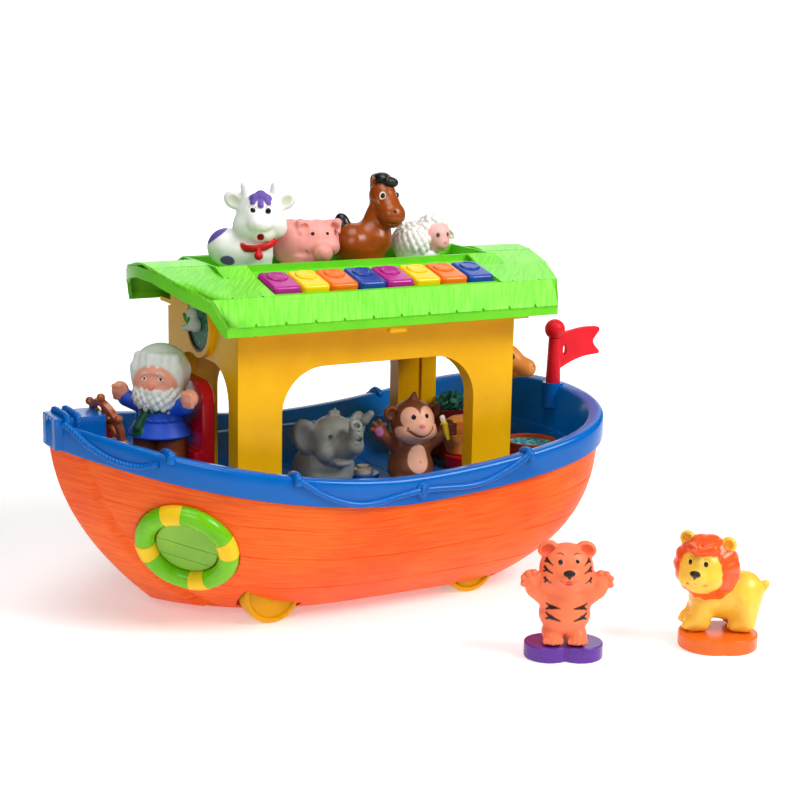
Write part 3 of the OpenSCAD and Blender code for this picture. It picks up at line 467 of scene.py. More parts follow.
# Wheels: four yellow wheels of moulded plastic, a dished face and a hub cap each, pressed
# on two steel axles that run in bores of the wheel wells.
wheel_yellow = moulded("wheel_yellow_plastic", "#f5b905", "#d99a02", 0.34)


def rounded_off(obj, width, steps=3, angle=30, weight=50):
    """Rounds the edges of a finished shape and keeps its flats flat."""
    cut = obj.modifiers.new("edges", "BEVEL")
    cut.limit_method, cut.angle_limit = "ANGLE", radians(angle)
    cut.width, cut.segments = width * MM, steps
    flat = obj.modifiers.new("flat", "WEIGHTED_NORMAL")
    flat.keep_sharp, flat.weight = True, weight
    obj.data.shade_smooth()
    return settle(obj)


def softened(name, *nodes, edge=0.5, angle=32, steps=2):
    """A copy of frame parts with their edges rounded, as a mould leaves them."""
    work = bmesh.new()
    for node in nodes:
        work.from_mesh(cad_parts[node].data)
    bmesh.ops.remove_doubles(work, verts=work.verts, dist=2e-6)
    bmesh.ops.dissolve_limit(work, angle_limit=radians(0.6), verts=work.verts, edges=work.edges)
    mesh = bpy.data.meshes.new(name)
    work.to_mesh(mesh)
    work.free()
    obj = bpy.data.objects.new(name, mesh)
    scene.collection.objects.link(obj)
    return rounded_off(obj, edge, steps, angle, 100)


for end in ("front", "rear"):
    for side in ("port", "starboard"):
        name = f"wheel_{end}_{side}"
        fit(softened(name + "_rounded", name, edge=0.4), wheel_yellow, "wheels_" + end, name,
            slot="wheel_yellow")

# Deck moulding: blue polypropylene band, rim, inner wall with its ledge, planked deck,
# foredeck and bow block in one piece, with a rope moulded round the band.
deck_blue = moulded("deck_blue_plastic", "#0169c3", "#015eb0", 0.22, coat=0.15)
deck_z, ledge_z, deck_inset, deck_stern_in, foredeck_z, foredeck_x = 63, 86, 45, 16, 94, -104
rim_lip = 9


def rim_ring(inset, drop):
    q = plan(inset, inset, inset)
    return np.c_[q, sheer(q[:, 0]) - drop]


def flat_ring(bow_in, stern_in, side_in, z):
    q = plan(bow_in, stern_in, side_in)
    return np.c_[q, np.full(len(q), z)]


tub_rings = [flat_ring(deck_inset - tub_t, deck_stern_in - tub_t, deck_inset - tub_t, deck_z - tub_t),
             flat_ring(22, 12, 22, ledge_z - tub_t), flat_ring(17, 10.6, 17, ledge_z - tub_t + 0.4),
             rim_ring(rim_lip - 1.4, tub_t + 1), rim_ring(rim_lip - 2.4, tub_t),
             rim_ring(hull_in - 0.3, tub_t), rim_ring(hull_in - 0.3, band_h),
             rim_ring(0.9, band_h), rim_ring(0.15, band_h - 0.5), rim_ring(-0.1, band_h - 1.5),
             rim_ring(-0.05, 3.4), rim_ring(0.25, 1.9), rim_ring(0.9, 0.8), rim_ring(1.9, 0.15),
             rim_ring(3.2, 0), rim_ring(rim_lip - 2, 0), rim_ring(rim_lip - 0.4, 0.5),
             rim_ring(rim_lip + 0.6, 1.6), flat_ring(19.0, 12.9, 19.0, ledge_z + 1.4),
             flat_ring(19.7, 13.1, 19.7, ledge_z + 0.5), flat_ring(20.8, 13.4, 20.8, ledge_z),
             flat_ring(24.0, 14.3, 24.0, ledge_z), flat_ring(24.9, 14.5, 24.9, ledge_z - 0.5),
             flat_ring(deck_inset - 1.2, deck_stern_in - 0.1, deck_inset - 1.2, deck_z + 1.2),
             flat_ring(deck_inset, deck_stern_in, deck_inset, deck_z)]
tub = face_out(piece("deck", *skin_of(np.array(tub_rings))))


def slab(outline, low, high):
    """Straight-sided block over a closed outline in the XY plane."""
    n = len(outline)
    points = [(x, y, low) for x, y in outline] + [(x, y, high) for x, y in outline]
    faces = [tuple(range(n))[::-1], tuple(range(n, 2 * n))]
    faces += [(i, (i + 1) % n, n + (i + 1) % n, n + i) for i in range(n)]
    return points, faces


def block(low, high):
    (a, b, c), (d, e, f) = low, high
    return slab([(a, b), (d, b), (d, e), (a, e)], c, f)


fore = plan(16.6, 16.6, 16.6)
fore = fore[fore[:, 0] < foredeck_x]
order = np.argsort(np.arctan2(fore[:, 1], -(fore[:, 0] - foredeck_x) - 1))
fore = fore[order]
shapes = [slab(fore.tolist(), foredeck_z - 2.5, foredeck_z),
          block((foredeck_x - 2.5, -48, deck_z - 1), (foredeck_x, 48, foredeck_z - 1))]
carve(tub, face_out(joined("foredeck", shapes)), "UNION")
button_at, pole_x = (16, -5), 174
pole_z = float(sheer(pole_x)) + 2
screw_posts = [(x, y) for x in (-38, 30) for y in (-30, 30)]
posts = [disc(11, deck_z - tub_t - 6, deck_z + 7, at(*button_at, 0)),
         disc(7.4, pole_z - 18, pole_z, at(pole_x, 0, 0))]
posts += [disc(5, 8.1, deck_z - 1, at(x, y, 0), 48) for x, y in screw_posts]
carve(tub, face_out(joined("posts", posts)), "UNION")
holes = [disc(7.3, deck_z - 12, deck_z + 30, at(*button_at, 0)),
         disc(3.05, pole_z - 13, pole_z + 9, at(pole_x, 0, 0))]
holes += [disc(1.5, 0, 26, at(x, y, 0), 48) for x, y in screw_posts]
holes += [disc(1.7, deck_z - tub_t - 1, deck_z + 1.5, at(x, y, 0), 48)
          for x in (-81.6, 81.6) for y in (-52.1, 52.1)]
carve(tub, face_out(joined("holes", holes)))
# Grooves between the deck's planks, which run across the ship
edge_line = plan(deck_inset + 1.5, deck_stern_in + 1.5, deck_inset + 1.5, 300)[:300]
grooves = []
for x in range(-90, 168, 15):
    if abs(x - button_at[0]) < 12:
        continue
    reach = abs(np.interp(x, edge_line[:, 0], edge_line[:, 1]))
    grooves.append(block((x - 0.4, -reach, deck_z - 0.6), (x + 0.4, reach, deck_z + 2)))
carve(tub, face_out(joined("grooves", grooves)))
shade(tub, 38)
tub.name = "deck"
fit(tub, deck_blue, "ark", "deck_tub", slot="deck_blue")

# Bow block and ropes: an upright block with grooves on its face and two lashings over its
# top, and the laid rope that hangs in bows round the band, all moulded with the deck.
bow_low, bow_high = float(sheer(-198.3)) - band_h + 1, float(sheer(-204.3)) + 2
face_y = [-12.8, -12.0, -6.4, -5.9, -5.4, -0.6, 0, 0.6, 5.4, 5.9, 6.4, 12.0, 12.8]
face_x = [1.0, 0, 0, 0.9, 0, 0, 0.9, 0, 0, 0.9, 0, 0, 1.0]
stem_face = [(-204.3 + 1.6 * x, y) for x, y in zip(face_x, face_y)]
bow = joined("bow_block", [slab(stem_face + [(-171, 12.8), (-171, -12.8)], bow_low, bow_high)])
face_out(bow)
rounded_off(bow, 1.1, 3, 40)
fit(bow, deck_blue, "ark", slot="deck_blue")


def smooth_path(points, count):
    """Even points on a smooth curve through the given ones."""
    p = np.array(points, float)
    p = np.r_[[2 * p[0] - p[1]], p, [2 * p[-1] - p[-2]]]
    t = np.linspace(0, 1, 24, endpoint=False)[:, None]
    line = [0.5 * (2 * b + (c - a) * t + (2 * a - 5 * b + 4 * c - d) * t ** 2
                   + (3 * b - a - 3 * c + d) * t ** 3)
            for a, b, c, d in zip(p[:-3], p[1:-2], p[2:-1], p[3:])]
    line = np.r_[np.concatenate(line), [p[-2]]]
    run = np.r_[0, np.cumsum(np.linalg.norm(np.diff(line, axis=0), axis=1))]
    even = np.linspace(0, run[-1], count)
    return np.stack([np.interp(even, run, line[:, k]) for k in range(3)], axis=1)


def tube(path, radius, sides=16, closed=False, strands=0, lay=0.0, flute=0.0):
    """Sweep of a round section; with strands it is laid like a rope."""
    path = np.asarray(path, float)
    ahead = (np.roll(path, -1, 0) - np.roll(path, 1, 0)) if closed else np.gradient(path, axis=0)
    ahead /= np.linalg.norm(ahead, axis=1, keepdims=True)
    first = np.cross(ahead[0], [0, 0, 1] if abs(ahead[0][2]) < 0.9 else [1, 0, 0])
    side = [first / np.linalg.norm(first)]
    for d in ahead[1:]:
        s = side[-1] - d * (side[-1] @ d)
        side.append(s / np.linalg.norm(s))
    side = np.array(side)
    other = np.cross(ahead, side)
    run = np.r_[0, np.cumsum(np.linalg.norm(np.diff(path, axis=0), axis=1))]
    a = np.linspace(0, 2 * pi, sides, endpoint=False)
    rings = []
    for k, middle in enumerate(path):
        r = radius * (1 + flute * np.abs(np.cos(strands / 2 * (a - lay * run[k]))))
        rings.append(middle + np.outer(r * np.cos(a), side[k]) + np.outer(r * np.sin(a), other[k]))
    return skin_of(np.array(rings), closed)


def on_band(x, side, drop, out_by=0.0):
    """Point on the band's outer face at station x."""
    q = plan(-out_by, -out_by, -out_by, 400)[:400]
    y = np.interp(x, q[:, 0], q[:, 1])
    return (x, side * abs(y), float(sheer(x)) - drop)


# Rope relief: station and drop below the rim, hung between cleats on both sides
bow_rope = [(-199, -2.5), (-195, 2.5), (-188, 8.5), (-178, 12.6), (-167, 12.2), (-157, 7.0)]
main_rope = [(-80, 1.5), (-74, 5.0), (-62, 10.8), (-44, 15.0), (-28, 14.0), (-12, 10.4), (4, 8.6),
             (20, 9.6), (36, 11.4), (52, 11.0), (68, 7.0), (80, 2.4), (84, -0.2)]
ropes = []
for side in (-1, 1):
    for stations in (bow_rope, main_rope):
        path = smooth_path([on_band(x, side, max(drop, -0.5), 0.7) for x, drop in stations],
                           9 * len(stations) + 60)
        ropes.append(tube(path, 1.75, 18, strands=3, lay=0.85, flute=0.32))
lashing, lashing_x = [], (-196.5, -189.5)
over_bow = [(-13.3, -8.5), (-13.8, -1.8), (-11.8, 0.8), (0, 1.2), (11.8, 0.8), (13.8, -1.8), (13.3, -8.5)]
for x in lashing_x:
    path = smooth_path([(x, y, bow_high + z) for y, z in over_bow], 110)
    lashing.append(tube(path, 1.7, 18, strands=3, lay=0.85, flute=0.32))
rope_end = [(0, -5), (2.5, -4.8), (3.0, -3.6), (2.6, -2.4), (2.4, 0), (0, 0.4)]
for side in (-1, 1):
    for x in lashing_x:
        lashing.append(turned_shape(rope_end, 20, at(x, side * 13.3, bow_high - 6.5)))


def bracket(x, side):
    """Rounded cleat over the rim that holds the rope."""
    y0 = on_band(x, side, 0, 0.6)[1]
    y1 = on_band(x, side, 0, -8.4)[1]
    z = float(sheer(x))
    path = [(x, y0, z - 4.6), (x, y0 * 1.002, z - 1.4), (x, y0 * 0.985, z + 0.5),
            (x, (y0 + y1) / 2, z + 0.8), (x, y1, z - 0.4), (x, y1, z - 3)]
    return tube(smooth_path(path, 30), 2.7, 16)


cleats = [bracket(x, side) for side in (-1, 1) for x in (-151, -81, 84.5)]
for side in (-1, 1):
    x, y, z = on_band(4, side, 8.6, 0.9)
    knot = [(x + 3.0 * cos(t), y + side * 0.6 * sin(2 * t), z + 3.4 * sin(t))
            for t in np.linspace(0, 2 * pi, 33)]
    cleats.append(tube(knot[:-1], 1.5, 14, closed=True, strands=2, lay=0.0, flute=0.1))
    tassel = smooth_path([(x, y, z + 3.6), (x - 0.6, y + side * 1.6, z), (x, y, z - 4.4)], 20)
    cleats.append(tube(tassel, 1.6, 14, strands=3, lay=0.8, flute=0.3))
rope = face_out(joined("rim_rope", ropes + lashing + cleats))
shade(rope, 60)
fit(rope, deck_blue, "ark", slot="deck_blue")

# Cabin: four hollow walls of yellow polypropylene, mitred at the corners and screwed to the
# deck from below, with arched openings. The bow wall carries the clock's moulded ring.
cabin_yellow = moulded("cabin_yellow_plastic", "#fdc503", "#f0ac00", 0.33)
for wall in ("cabin_wall_port", "cabin_wall_starboard", "cabin_wall_bow", "cabin_wall_stern"):
    fit(softened(wall + "_rounded", wall, edge=0.7), cabin_yellow, "ark", wall, slot="cabin_yellow")
fit(softened("ceiling_rounded", "ceiling_frame", edge=0.4), cabin_yellow, "ark", "ceiling_frame",
    slot="cabin_yellow")
dress(cabin_yellow, "battery_door")

# Roof: one green shell with courses of shingles moulded on it, a deeper lip at its curved
# ends and a long tray on top for the animals. Four screws hold it to the ceiling frame.
p = Paint("roof_green_plastic", {"Specular IOR Level": 0.5})
where = p.place()
tile = p.vector("SNAP", where, (0.0201, 0.0322, 1.0))
lean = p.node("TexWhiteNoise", {"noise_dimensions": "3D"}, {"Vector": tile}, "Value")
slant = p.node("VectorRotate", {"rotation_type": "Z_AXIS"},
               {"Vector": where, "Angle": 0.52 + 0.42 * (lean - 0.5)}, "Vector")
strokes = p.noise(p.stretched(slant, (640, 46, 60)), 1.0, 2, 0.5)
fine = p.noise(where, 700, 2)
p.feed({"Base Color": p.blend(p.noise(where, 26, 3).step(0.3, 0.72),
                              p.blend(strokes.step(0.4, 0.62), rgb("#63cf1d"), rgb("#76dd2c")),
                              p.blend(strokes.step(0.4, 0.62), rgb("#74da2b"), rgb("#88e840"))),
        "Roughness": 0.33 + 0.2 * (strokes - 0.5) + 0.08 * (fine - 0.5),
        "Normal": p.bump(strokes, 0.28, 0.7, p.bump(fine, 0.05, 0.4))})
roof_green = moulded("roof_plain_green", "#7ee032", "#62c81e", 0.32)
fit(softened("roof_rounded", "roof_shell", edge=0.5), roof_green, "ark", "roof_shell", slot="roof_lime")

ridge_x, end_r, recess_x = 141, 170, 100
key_n, key_pitch, key_l, key_y = 8, 20.1, 28, 52
(slope_low_y, slope_low_z), (slope_high_y, slope_high_z) = (71.4, 206.4), (39.6, 214.0)
slope_rise = (slope_high_z - slope_low_z) / (slope_low_y - slope_high_y)
key_tilt = degrees(atan(slope_rise))
course_lines = [((84.2, 191.3), (71.6, 206.9)), ((72.6, 206.6), (41.2, 214.2)),
                ((42.2, 213.9), (27.0, 219.9)), ((42.2, 213.9), (14.3, 219.2)),
                ((15.2, 219.2), (0.0, 220.6))]


def course(row, side, left, right):
    """One course between two stations: quads from the foot line to the head line."""
    low, high = course_lines[row]
    foot_at, rise = np.array(low), np.array(high) - low
    length = np.hypot(*rise)
    run = rise / length
    off = np.array([-run[1], run[0]])
    stations = [left]
    for k in range(-9, 10):
        x = (k + 0.5 * (row % 2)) * key_pitch
        if left + 2 < x < right - 2:
            stations += [x - 1.5, x + 0.15, x + 0.55, x + 0.9]
    stations.append(right)
    rows = []
    for d, lift in ((None, 0.9), (0.16, 0.75), (0.5, 0.45), (1.0, 0.12), (1.0, -1.2), (None, -1.2)):
        line = []
        for n, x in enumerate(stations):
            cut = 2.1 if n % 4 in (2, 3) and 0 < n < len(stations) - 1 else 0.0
            along = cut if d is None else max(cut, d * length)
            q = foot_at + run * along + off * lift
            reach = (ridge_x - end_r) + sqrt(end_r ** 2 - q[0] ** 2) + 0.15
            line.append((min(max(x, -reach), reach), side * q[0], q[1]))
        rows.append(line)
    flat, n = np.array(rows).reshape(-1, 3), len(stations)
    faces = [(r * n + i, r * n + i + 1, (r + 1) % 6 * n + i + 1, (r + 1) % 6 * n + i)
             for r in range(6) for i in range(n - 1)]
    return flat, faces + [tuple(r * n for r in range(6)), tuple(r * n + n - 1 for r in range(6))[::-1]]


shingles = []
key_side = key_n * key_pitch / 2 + 1.2
end_x, side_x = 151, recess_x + 3
at_ends = [(-end_x, -side_x), (side_x, end_x)]
for side in (-1, 1):
    for row, spans in ((0, [(-end_x, end_x)]), (1, [(-end_x, end_x)]), (2, [(-side_x, side_x)]),
                       (3, at_ends), (4, at_ends)):
        for left, right in spans:
            if side == -1 and row in (1, 2):
                shingles += [course(row, side, left, -key_side), course(row, side, key_side, right)]
            else:
                shingles.append(course(row, side, left, right))
roof_tiles = face_out(joined("roof_shingles", shingles))
shade(roof_tiles, 25)
fit(roof_tiles, p.material, "ark", slot="roof_lime")

# Piano keys: eight coloured keys in a slot of the near slope, each a block with rounded
# corners and a raised disc, on a rubber contact mat and a circuit board.
key_colours = {"key_magenta": ("#c8289a", "#a81c80"), "key_yellow": ("#ffe000", "#f2c400"),
               "key_orange": ("#ff7d12", "#ee6a06"), "key_blue": ("#1f52b4", "#173f96")}
key_mouldings = [(name, moulded(name + "_plastic", *pair, 0.24, 0.3)) for name, pair in key_colours.items()]
slope = at(0, -key_y, slope_low_z + (slope_low_y - key_y) * (slope_high_z - slope_low_z)
           / (slope_low_y - slope_high_y), 0, key_tilt)


def key_shape(i):
    """Block with round plan corners, a crowned rim and a disc near its back."""
    w, l = (key_pitch - 0.5) / 2, key_l / 2

    def plan_ring(inset, z, r=3.4):
        r = max(r - inset, 0.4)
        ring = []
        across, along = w - inset - r, l - inset - r
        for cx, cy, start in ((across, along, 0), (-across, along, 90), (-across, -along, 180),
                              (across, -along, 270)):
            for t in np.linspace(0, 90, 9):
                ring.append((cx + r * cos(radians(start + t)), cy + r * sin(radians(start + t)), z))
        return ring
    rings = [plan_ring(0, -5), plan_ring(0, 1.8), plan_ring(0.25, 2.9), plan_ring(0.9, 3.7),
             plan_ring(1.8, 4.0), plan_ring(3.0, 4.05)]
    body = skin_of(np.array(rings))
    disc_at = at(0, l - 10, 4.0)
    pad = turned_shape([(0, -0.6), (7.0, -0.6), (7.0, 0.5), (6.6, 0.95), (5.9, 1.15), (4.6, 1.1),
                        (4.2, 0.85), (3.6, 0.8), (0, 0.95)], 48, disc_at)
    place = slope @ Matrix.Translation(((i - (key_n - 1) / 2) * key_pitch, 0, 0))
    return [(moved(points, place), faces) for points, faces in (body, pad)]


for i in range(key_n):
    colour, finish = key_mouldings[i % len(key_mouldings)]
    fit(face_out(joined(f"key_cap_{i + 1}", key_shape(i))), finish, f"key_body_{i + 1}", f"key_{i + 1}",
        slot=colour)

dress(moulded("contact_rubber", "#5c6168", "#4a4e55", 0.6), "key_mat")
board = Paint("circuit_board", {"Coat Weight": 0.3})
where = board.place()
tracks = board.node("TexBrick", {"offset": 0.5}, {"Vector": where, "Scale": 120.0, "Mortar Size": 0.08},
                    "Fac")
board.feed({"Base Color": board.blend(tracks, rgb("#1f6b3c"), rgb("#2f8a50")),
            "Roughness": 0.4 + 0.1 * tracks, "Normal": board.bump(tracks, 0.05)})
dress(board.material, "key_board")
dress(moulded("speaker_paper", "#2e3034", "#222428", 0.75, 0, 0.2), "speaker")
cells = Paint("cell_wrap", {"Metallic": 0.4})
where = cells.place()
ends = cells.node("SeparateXYZ", {}, {0: where}, "X")
cells.feed({"Base Color": cells.blend((ends * -1) > 0.052, rgb("#c9a13c"), rgb("#3a3a3c")),
            "Roughness": 0.35 + 0.1 * cells.noise(where, 200),
            "Normal": cells.bump(cells.noise(where, 500), 0.03)})
dress(cells.material, "battery_cells")

# Clock: a dark ring in the moulded one, a teal dial with plain figures, and a chunky hand
# with a green leaf that turns on a shaft in the wall.
clock_x, clock_z, hours_r = -101.2, 180, 11.6
clock_at = Matrix.Translation((clock_x, 0, clock_z)) @ Matrix.Rotation(radians(-90), 4, "Y")
clock_red = moulded("clock_red_plastic", "#5e160c", "#4a0f08", 0.35)
fit(softened("clock_ring", "clock_bezel", edge=0.3), clock_red, "ark", "clock_bezel", slot="clock_red")
dress(moulded("clock_teal_plastic", "#37866c", "#2b6f59", 0.42), "clock_dial")
pale_print = moulded("pale_print", "#b9d8b0", "#a4c79c", 0.5)
figures = []
for hour in range(1, 13):
    a = radians(90 - 30 * hour)
    text = bpy.data.curves.new("figure", "FONT")
    text.body = str(hour)
    text.size = (4.6 if hour % 3 == 0 else 3.4) * MM
    text.extrude = 0.08 * MM
    text.align_x, text.align_y = "CENTER", "CENTER"
    holder = bpy.data.objects.new("figure", text)
    scene.collection.objects.link(holder)
    graph = bpy.context.evaluated_depsgraph_get()
    mesh = bpy.data.meshes.new_from_object(holder.evaluated_get(graph))
    # On the wall: up is +Z, and seen from the bow the port side is on the right
    points = np.array([v.co for v in mesh.vertices]) / MM
    points = np.c_[np.full(len(points), clock_x - 1.52) - points[:, 2],
                   -(points[:, 0] + hours_r * cos(a)), clock_z + points[:, 1] + hours_r * sin(a)]
    figures.append((points, [tuple(f.vertices) for f in mesh.polygons]))
    bpy.data.objects.remove(holder)
fit(face_out(joined("dial_figures", figures)), pale_print, "ark", slot="clock_teal")
hand_paint = moulded("hand_grey_plastic", "#d6dad0", "#bfc6ba", 0.3)
hand = [turned_shape([(0, -2.6), (2, -2.6), (2, 2), (4.4, 2.2), (4.9, 3.0), (4.9, 5.6), (4.3, 6.3),
                      (0, 6.4)], 48, clock_at)]


def pod(a, b, ra, rb, flat=1.0, sides=24):
    """Plump limb with round ends; `flat` squeezes it along the second direction."""
    a, b = np.array(a, float), np.array(b, float)
    d = b - a
    l = np.linalg.norm(d)
    d = d / l
    side = np.cross(d, (0, 1, 0))
    side /= np.linalg.norm(side)
    other = np.cross(d, side)
    rings = [(ra * sin(t), ra * cos(t)) for t in np.linspace(-pi / 2, 0, 9)]
    rings += [(l * k / 6, ra + (rb - ra) * k / 6) for k in range(1, 6)]
    rings += [(l + rb * sin(t), rb * cos(t)) for t in np.linspace(0, pi / 2, 9)]
    q = np.linspace(0, 2 * pi, sides, endpoint=False)
    grid = [a + d * x + max(r, 0.01) * (np.cos(q)[:, None] * side + flat * np.sin(q)[:, None] * other)
            for x, r in rings]
    return skin_of(np.array(grid))


for shape in (pod((0, 0, 6.2), (8.6, 0, 6.4), 4.0, 3.6), pod((8, 0, 6.4), (12.4, 0, 5.4), 3.5, 2.4),
              pod((-1.0, 0, 8), (-1.6, 0.4, 12.4), 3.1, 1.7)):
    hand.append((moved(shape[0], clock_at), shape[1]))
fit(face_out(joined("hand", hand)), hand_paint, "clock_pointer", "clock_hand", slot="hand_grey")
leaf = [(moved(points, clock_at), faces) for points, faces in
        (pod((3.2, 2.6, 8.6), (6.6, 4.4, 10.2), 2.1, 1.0, flat=0.4),
         pod((2.6, -1.2, 9.4), (5.4, -3.4, 10.4), 1.8, 0.9, flat=0.4))]
fit(face_out(joined("hand_leaf", leaf)), moulded("leaf_green", "#4f9a3a", "#3f8430", 0.4), "clock_pointer",
    slot="hand_grey")

# Captain's seat: a red high-backed seat, moulded hollow in front, clipped to the foredeck.
seat_red = moulded("seat_red_plastic", "#ee0a22", "#c9061c", 0.24, coat=0.4)
fit(softened("seat_rounded", "captain_seat", edge=1.2, steps=3), seat_red, "ark", "captain_seat",
    slot="seat_red")
fit(softened("helm_post_rounded", "helm_post", edge=0.6), seat_red, "ark", "helm_post", slot="seat_red")

# Ship's wheel: brown, a flat-sided rim with six round knobs, six spokes and a hub.
helm = at(-166, 0, 121, 10) @ Matrix.Rotation(radians(70), 4, "Y")
p = Paint("helm_brown_plastic", {"Coat Weight": 0.35, "Coat Roughness": 0.15})
where = p.place()
veins = p.noise(p.stretched(where, (1, 1, 0.25)), 420, 3, 0.6, 0.8)
p.feed({"Base Color": p.blend(veins.step(0.35, 0.65), rgb("#96400f"), rgb("#bf5a1c")),
        "Roughness": 0.28 + 0.12 * veins, "Normal": p.bump(veins, 0.06, 0.5)})
rim = [(r + 15, z) for r, z in ((-2.2, -1.6), (-1.6, -2.3), (1.4, -2.3), (2.2, -1.7), (2.2, 1.7),
                                (1.4, 2.3), (-1.6, 2.3), (-2.2, 1.6))]
a = np.linspace(0, 2 * pi, 96, endpoint=False)
rim_rings = np.array([np.c_[r * np.cos(a), r * np.sin(a), np.full(96, z)] for r, z in rim])
parts = [skin_of(rim_rings, closed=True)]
parts.append(turned_shape([(0, -8), (2.5, -8), (2.5, -2.8), (4.2, -2.6), (4.6, -1.8), (4.6, 1.8),
                           (4.0, 2.6), (2.4, 3.1), (0, 3.3)], 40))
for k in range(6):
    t = radians(60 * k + 12)
    for start, end, thick, tip in ((3.6, 14.6, 1.9, 1.6), (16.5, 19.1, 2.1, 2.75)):
        parts.append(pod((start * cos(t), start * sin(t), 0), (end * cos(t), end * sin(t), 0), thick, tip))
fit(face_out(joined("ships_wheel", [(moved(points, helm), faces) for points, faces in parts])), p.material,
    "steering_wheel", "helm_wheel", slot="helm_brown")

# Life buoy: a lime ring and four yellow bands on a flat seat of the hull, and a green panel
# with two faint seams inside it, snapped into the hull from within.
buoy_mid = buoy_r - buoy_tube
ring_lime = moulded("buoy_lime_plastic", "#7fd30a", "#66b80c", 0.27, coat=0.2)
band_yellow = moulded("buoy_yellow_plastic", "#fcd625", "#ecc01c", 0.34)


def ring_part(start, end, extra, steps):
    """Arc of the ring's tube, cut flat at its back."""
    t = np.radians(np.linspace(start, end, steps))
    s = np.linspace(-0.35, pi + 0.35, 26)
    r = buoy_tube + extra
    section = [(buoy_mid + r * cos(q), max(r * sin(q), buoy_back)) for q in s]
    rings = [[(d * cos(q), d * sin(q), z) for d, z in section] for q in t]
    return moved(np.array(rings).reshape(-1, 3), on_buoy), skin_of(np.array(rings))[1]


quarters = [8 + 90 * k for k in range(4)]
arcs = [ring_part(mark + 12.6, mark + 77.4, 0, 48) for mark in quarters]
fit(face_out(joined("buoy_ring", arcs)), ring_lime, "ark", "lifebuoy_ring", slot="buoy_lime")
arcs = [ring_part(mark - 12.5, mark + 12.5, 0.35, 20) for mark in quarters]
bands = face_out(joined("buoy_bands", arcs))
rounded_off(bands, 0.25, 2, 50)
fit(bands, band_yellow, "ark", "lifebuoy_bands", slot="buoy_yellow")
p = Paint("buoy_panel_green", {})
where = p.place()
inner_green = p.noise(where, 30, 3)
p.feed({"Base Color": p.blend(inner_green.step(0.3, 0.7), rgb("#72ac22"), rgb("#84bb2c")),
        "Roughness": 0.4 + 0.15 * (inner_green - 0.5), "Normal": p.bump(p.noise(where, 500), 0.05, 0.5)})
panel = [turned_shape([(0, -8.9), (panel_r + 1.7, -8.9), (panel_r + 1.7, -7.1), (panel_r, -7.0),
                       (panel_r, -0.5), (panel_r - 0.5, 0.0), (0, 0.2)], 96, on_buoy)]
panel = face_out(joined("buoy_panel", panel))
seam_cuts = [(moved(points, on_buoy @ Matrix.Rotation(radians(-16), 4, "Z")), faces) for points, faces in
             (block((-21, 1.2, -0.25), (21, 1.7, 3)), block((-21, -10.5, -0.25), (21, -10.1, 3)))]
carve(panel, face_out(joined("seams", seam_cuts)))
shade(panel)
fit(panel, p.material, "ark", "lifebuoy_panel", slot="buoy_lime")

# Flag: a soft red swallow-tailed flag moulded with its pole and ball, in a stern socket.
flag_red = moulded("flag_red_plastic", "#f5222f", "#dd1626", 0.42)
pole = turned_shape([(0, -12), (3, -12), (3, 0.1), (5.2, 0.15), (5.3, 1.0), (5.0, 12), (4.5, 26),
                     (4.3, 32.5), (0, 32.6)], 64, at(pole_x, 0, pole_z))
a = np.linspace(-pi / 2, pi / 2, 28)
ball = turned_shape([(7.4 * cos(t), 39 + 7.4 * sin(t)) for t in a], 64, at(pole_x, 0, pole_z))
top_edge = smooth_path([(3.4, 35.2, 0), (12, 37.2, 0), (24, 39.0, 0), (34.5, 39.2, 0)], 24)[:, :2]
tip_a = [(36.4, 38.9), (38.2, 37.9), (38.3, 36.2)]
notch = smooth_path([(38.0, 35.4, 0), (34.6, 31.4, 0), (32.9, 28.4, 0), (34.8, 24.8, 0),
                     (38.0, 21.6, 0)], 16)[:, :2]
tip_b = [(38.8, 20.4), (38.2, 18.9), (36.6, 18.6)]
low_edge = smooth_path([(35.2, 18.7, 0), (24, 17.4, 0), (13, 14.0, 0), (3.4, 9.4, 0)], 24)[:, :2]
cloth = np.concatenate([top_edge, tip_a, notch, tip_b, low_edge])
hole = [(8.4 + 1.7 * cos(t), 23.6 + 4.0 * sin(t)) for t in np.linspace(0, 2 * pi, 32, endpoint=False)]
upright = Matrix.Translation((pole_x, 0, pole_z)) @ Matrix.Rotation(radians(90), 4, "X")


def standing_slab(name, outline, half):
    points, faces = slab(outline, -half, half)
    return face_out(joined(name, [(moved(points, upright), faces)]))


sheet = carve(standing_slab("flag_sheet", cloth.tolist(), 1.7), standing_slab("flag_hole", hole, 4))
rounded_off(sheet, 0.8, 3, 50)
pole = face_out(joined("flag_pole", [pole, ball]))
fit(pole, flag_red, "pennant", "flag", slot="flag_red")
fit(sheet, flag_red, "pennant", slot="flag_red")

# Bath: an orange tub glued to the deck at the stern, with moulded rippled water.
bath_at = (147, -13)
bath_orange = moulded("bath_orange_plastic", "#d9571c", "#b94412", 0.3, coat=0.2)
wall = [(0, 0), (16.6, 0), (17.0, 0.4), (18.7, 17.6), (19.4, 18.1), (19.4, 18.8), (18.9, 19.2),
        (17.6, 19.2), (17.1, 18.7), (15.2, 3), (14.6, 2.5), (0, 2.5)]
tub_shape = turned_shape([(min(r, 19.0), z) for r, z in wall], 96, at(*bath_at, deck_z))
fit(face_out(joined("bath", [tub_shape])), bath_orange, "ark", "bath_tub", slot="bath_orange")
rings = []
angles = np.linspace(0, 2 * pi, 96, endpoint=False)
for r in np.linspace(0.05, 16.3, 44):
    x, y = r * np.cos(angles), r * np.sin(angles)
    swell = (0.45 * np.sin(0.75 * x + 1.6 * np.sin(0.34 * y + 1.0)) * np.cos(0.55 * y + 1.1 * np.sin(0.4 * x))
             + 0.25 * np.sin(1.3 * y - 0.8 * np.sin(0.5 * x + 2))) * min(1, (16.5 - r) / 2)
    rings.append(np.c_[x + bath_at[0], y + bath_at[1], deck_z + 16.7 + swell])
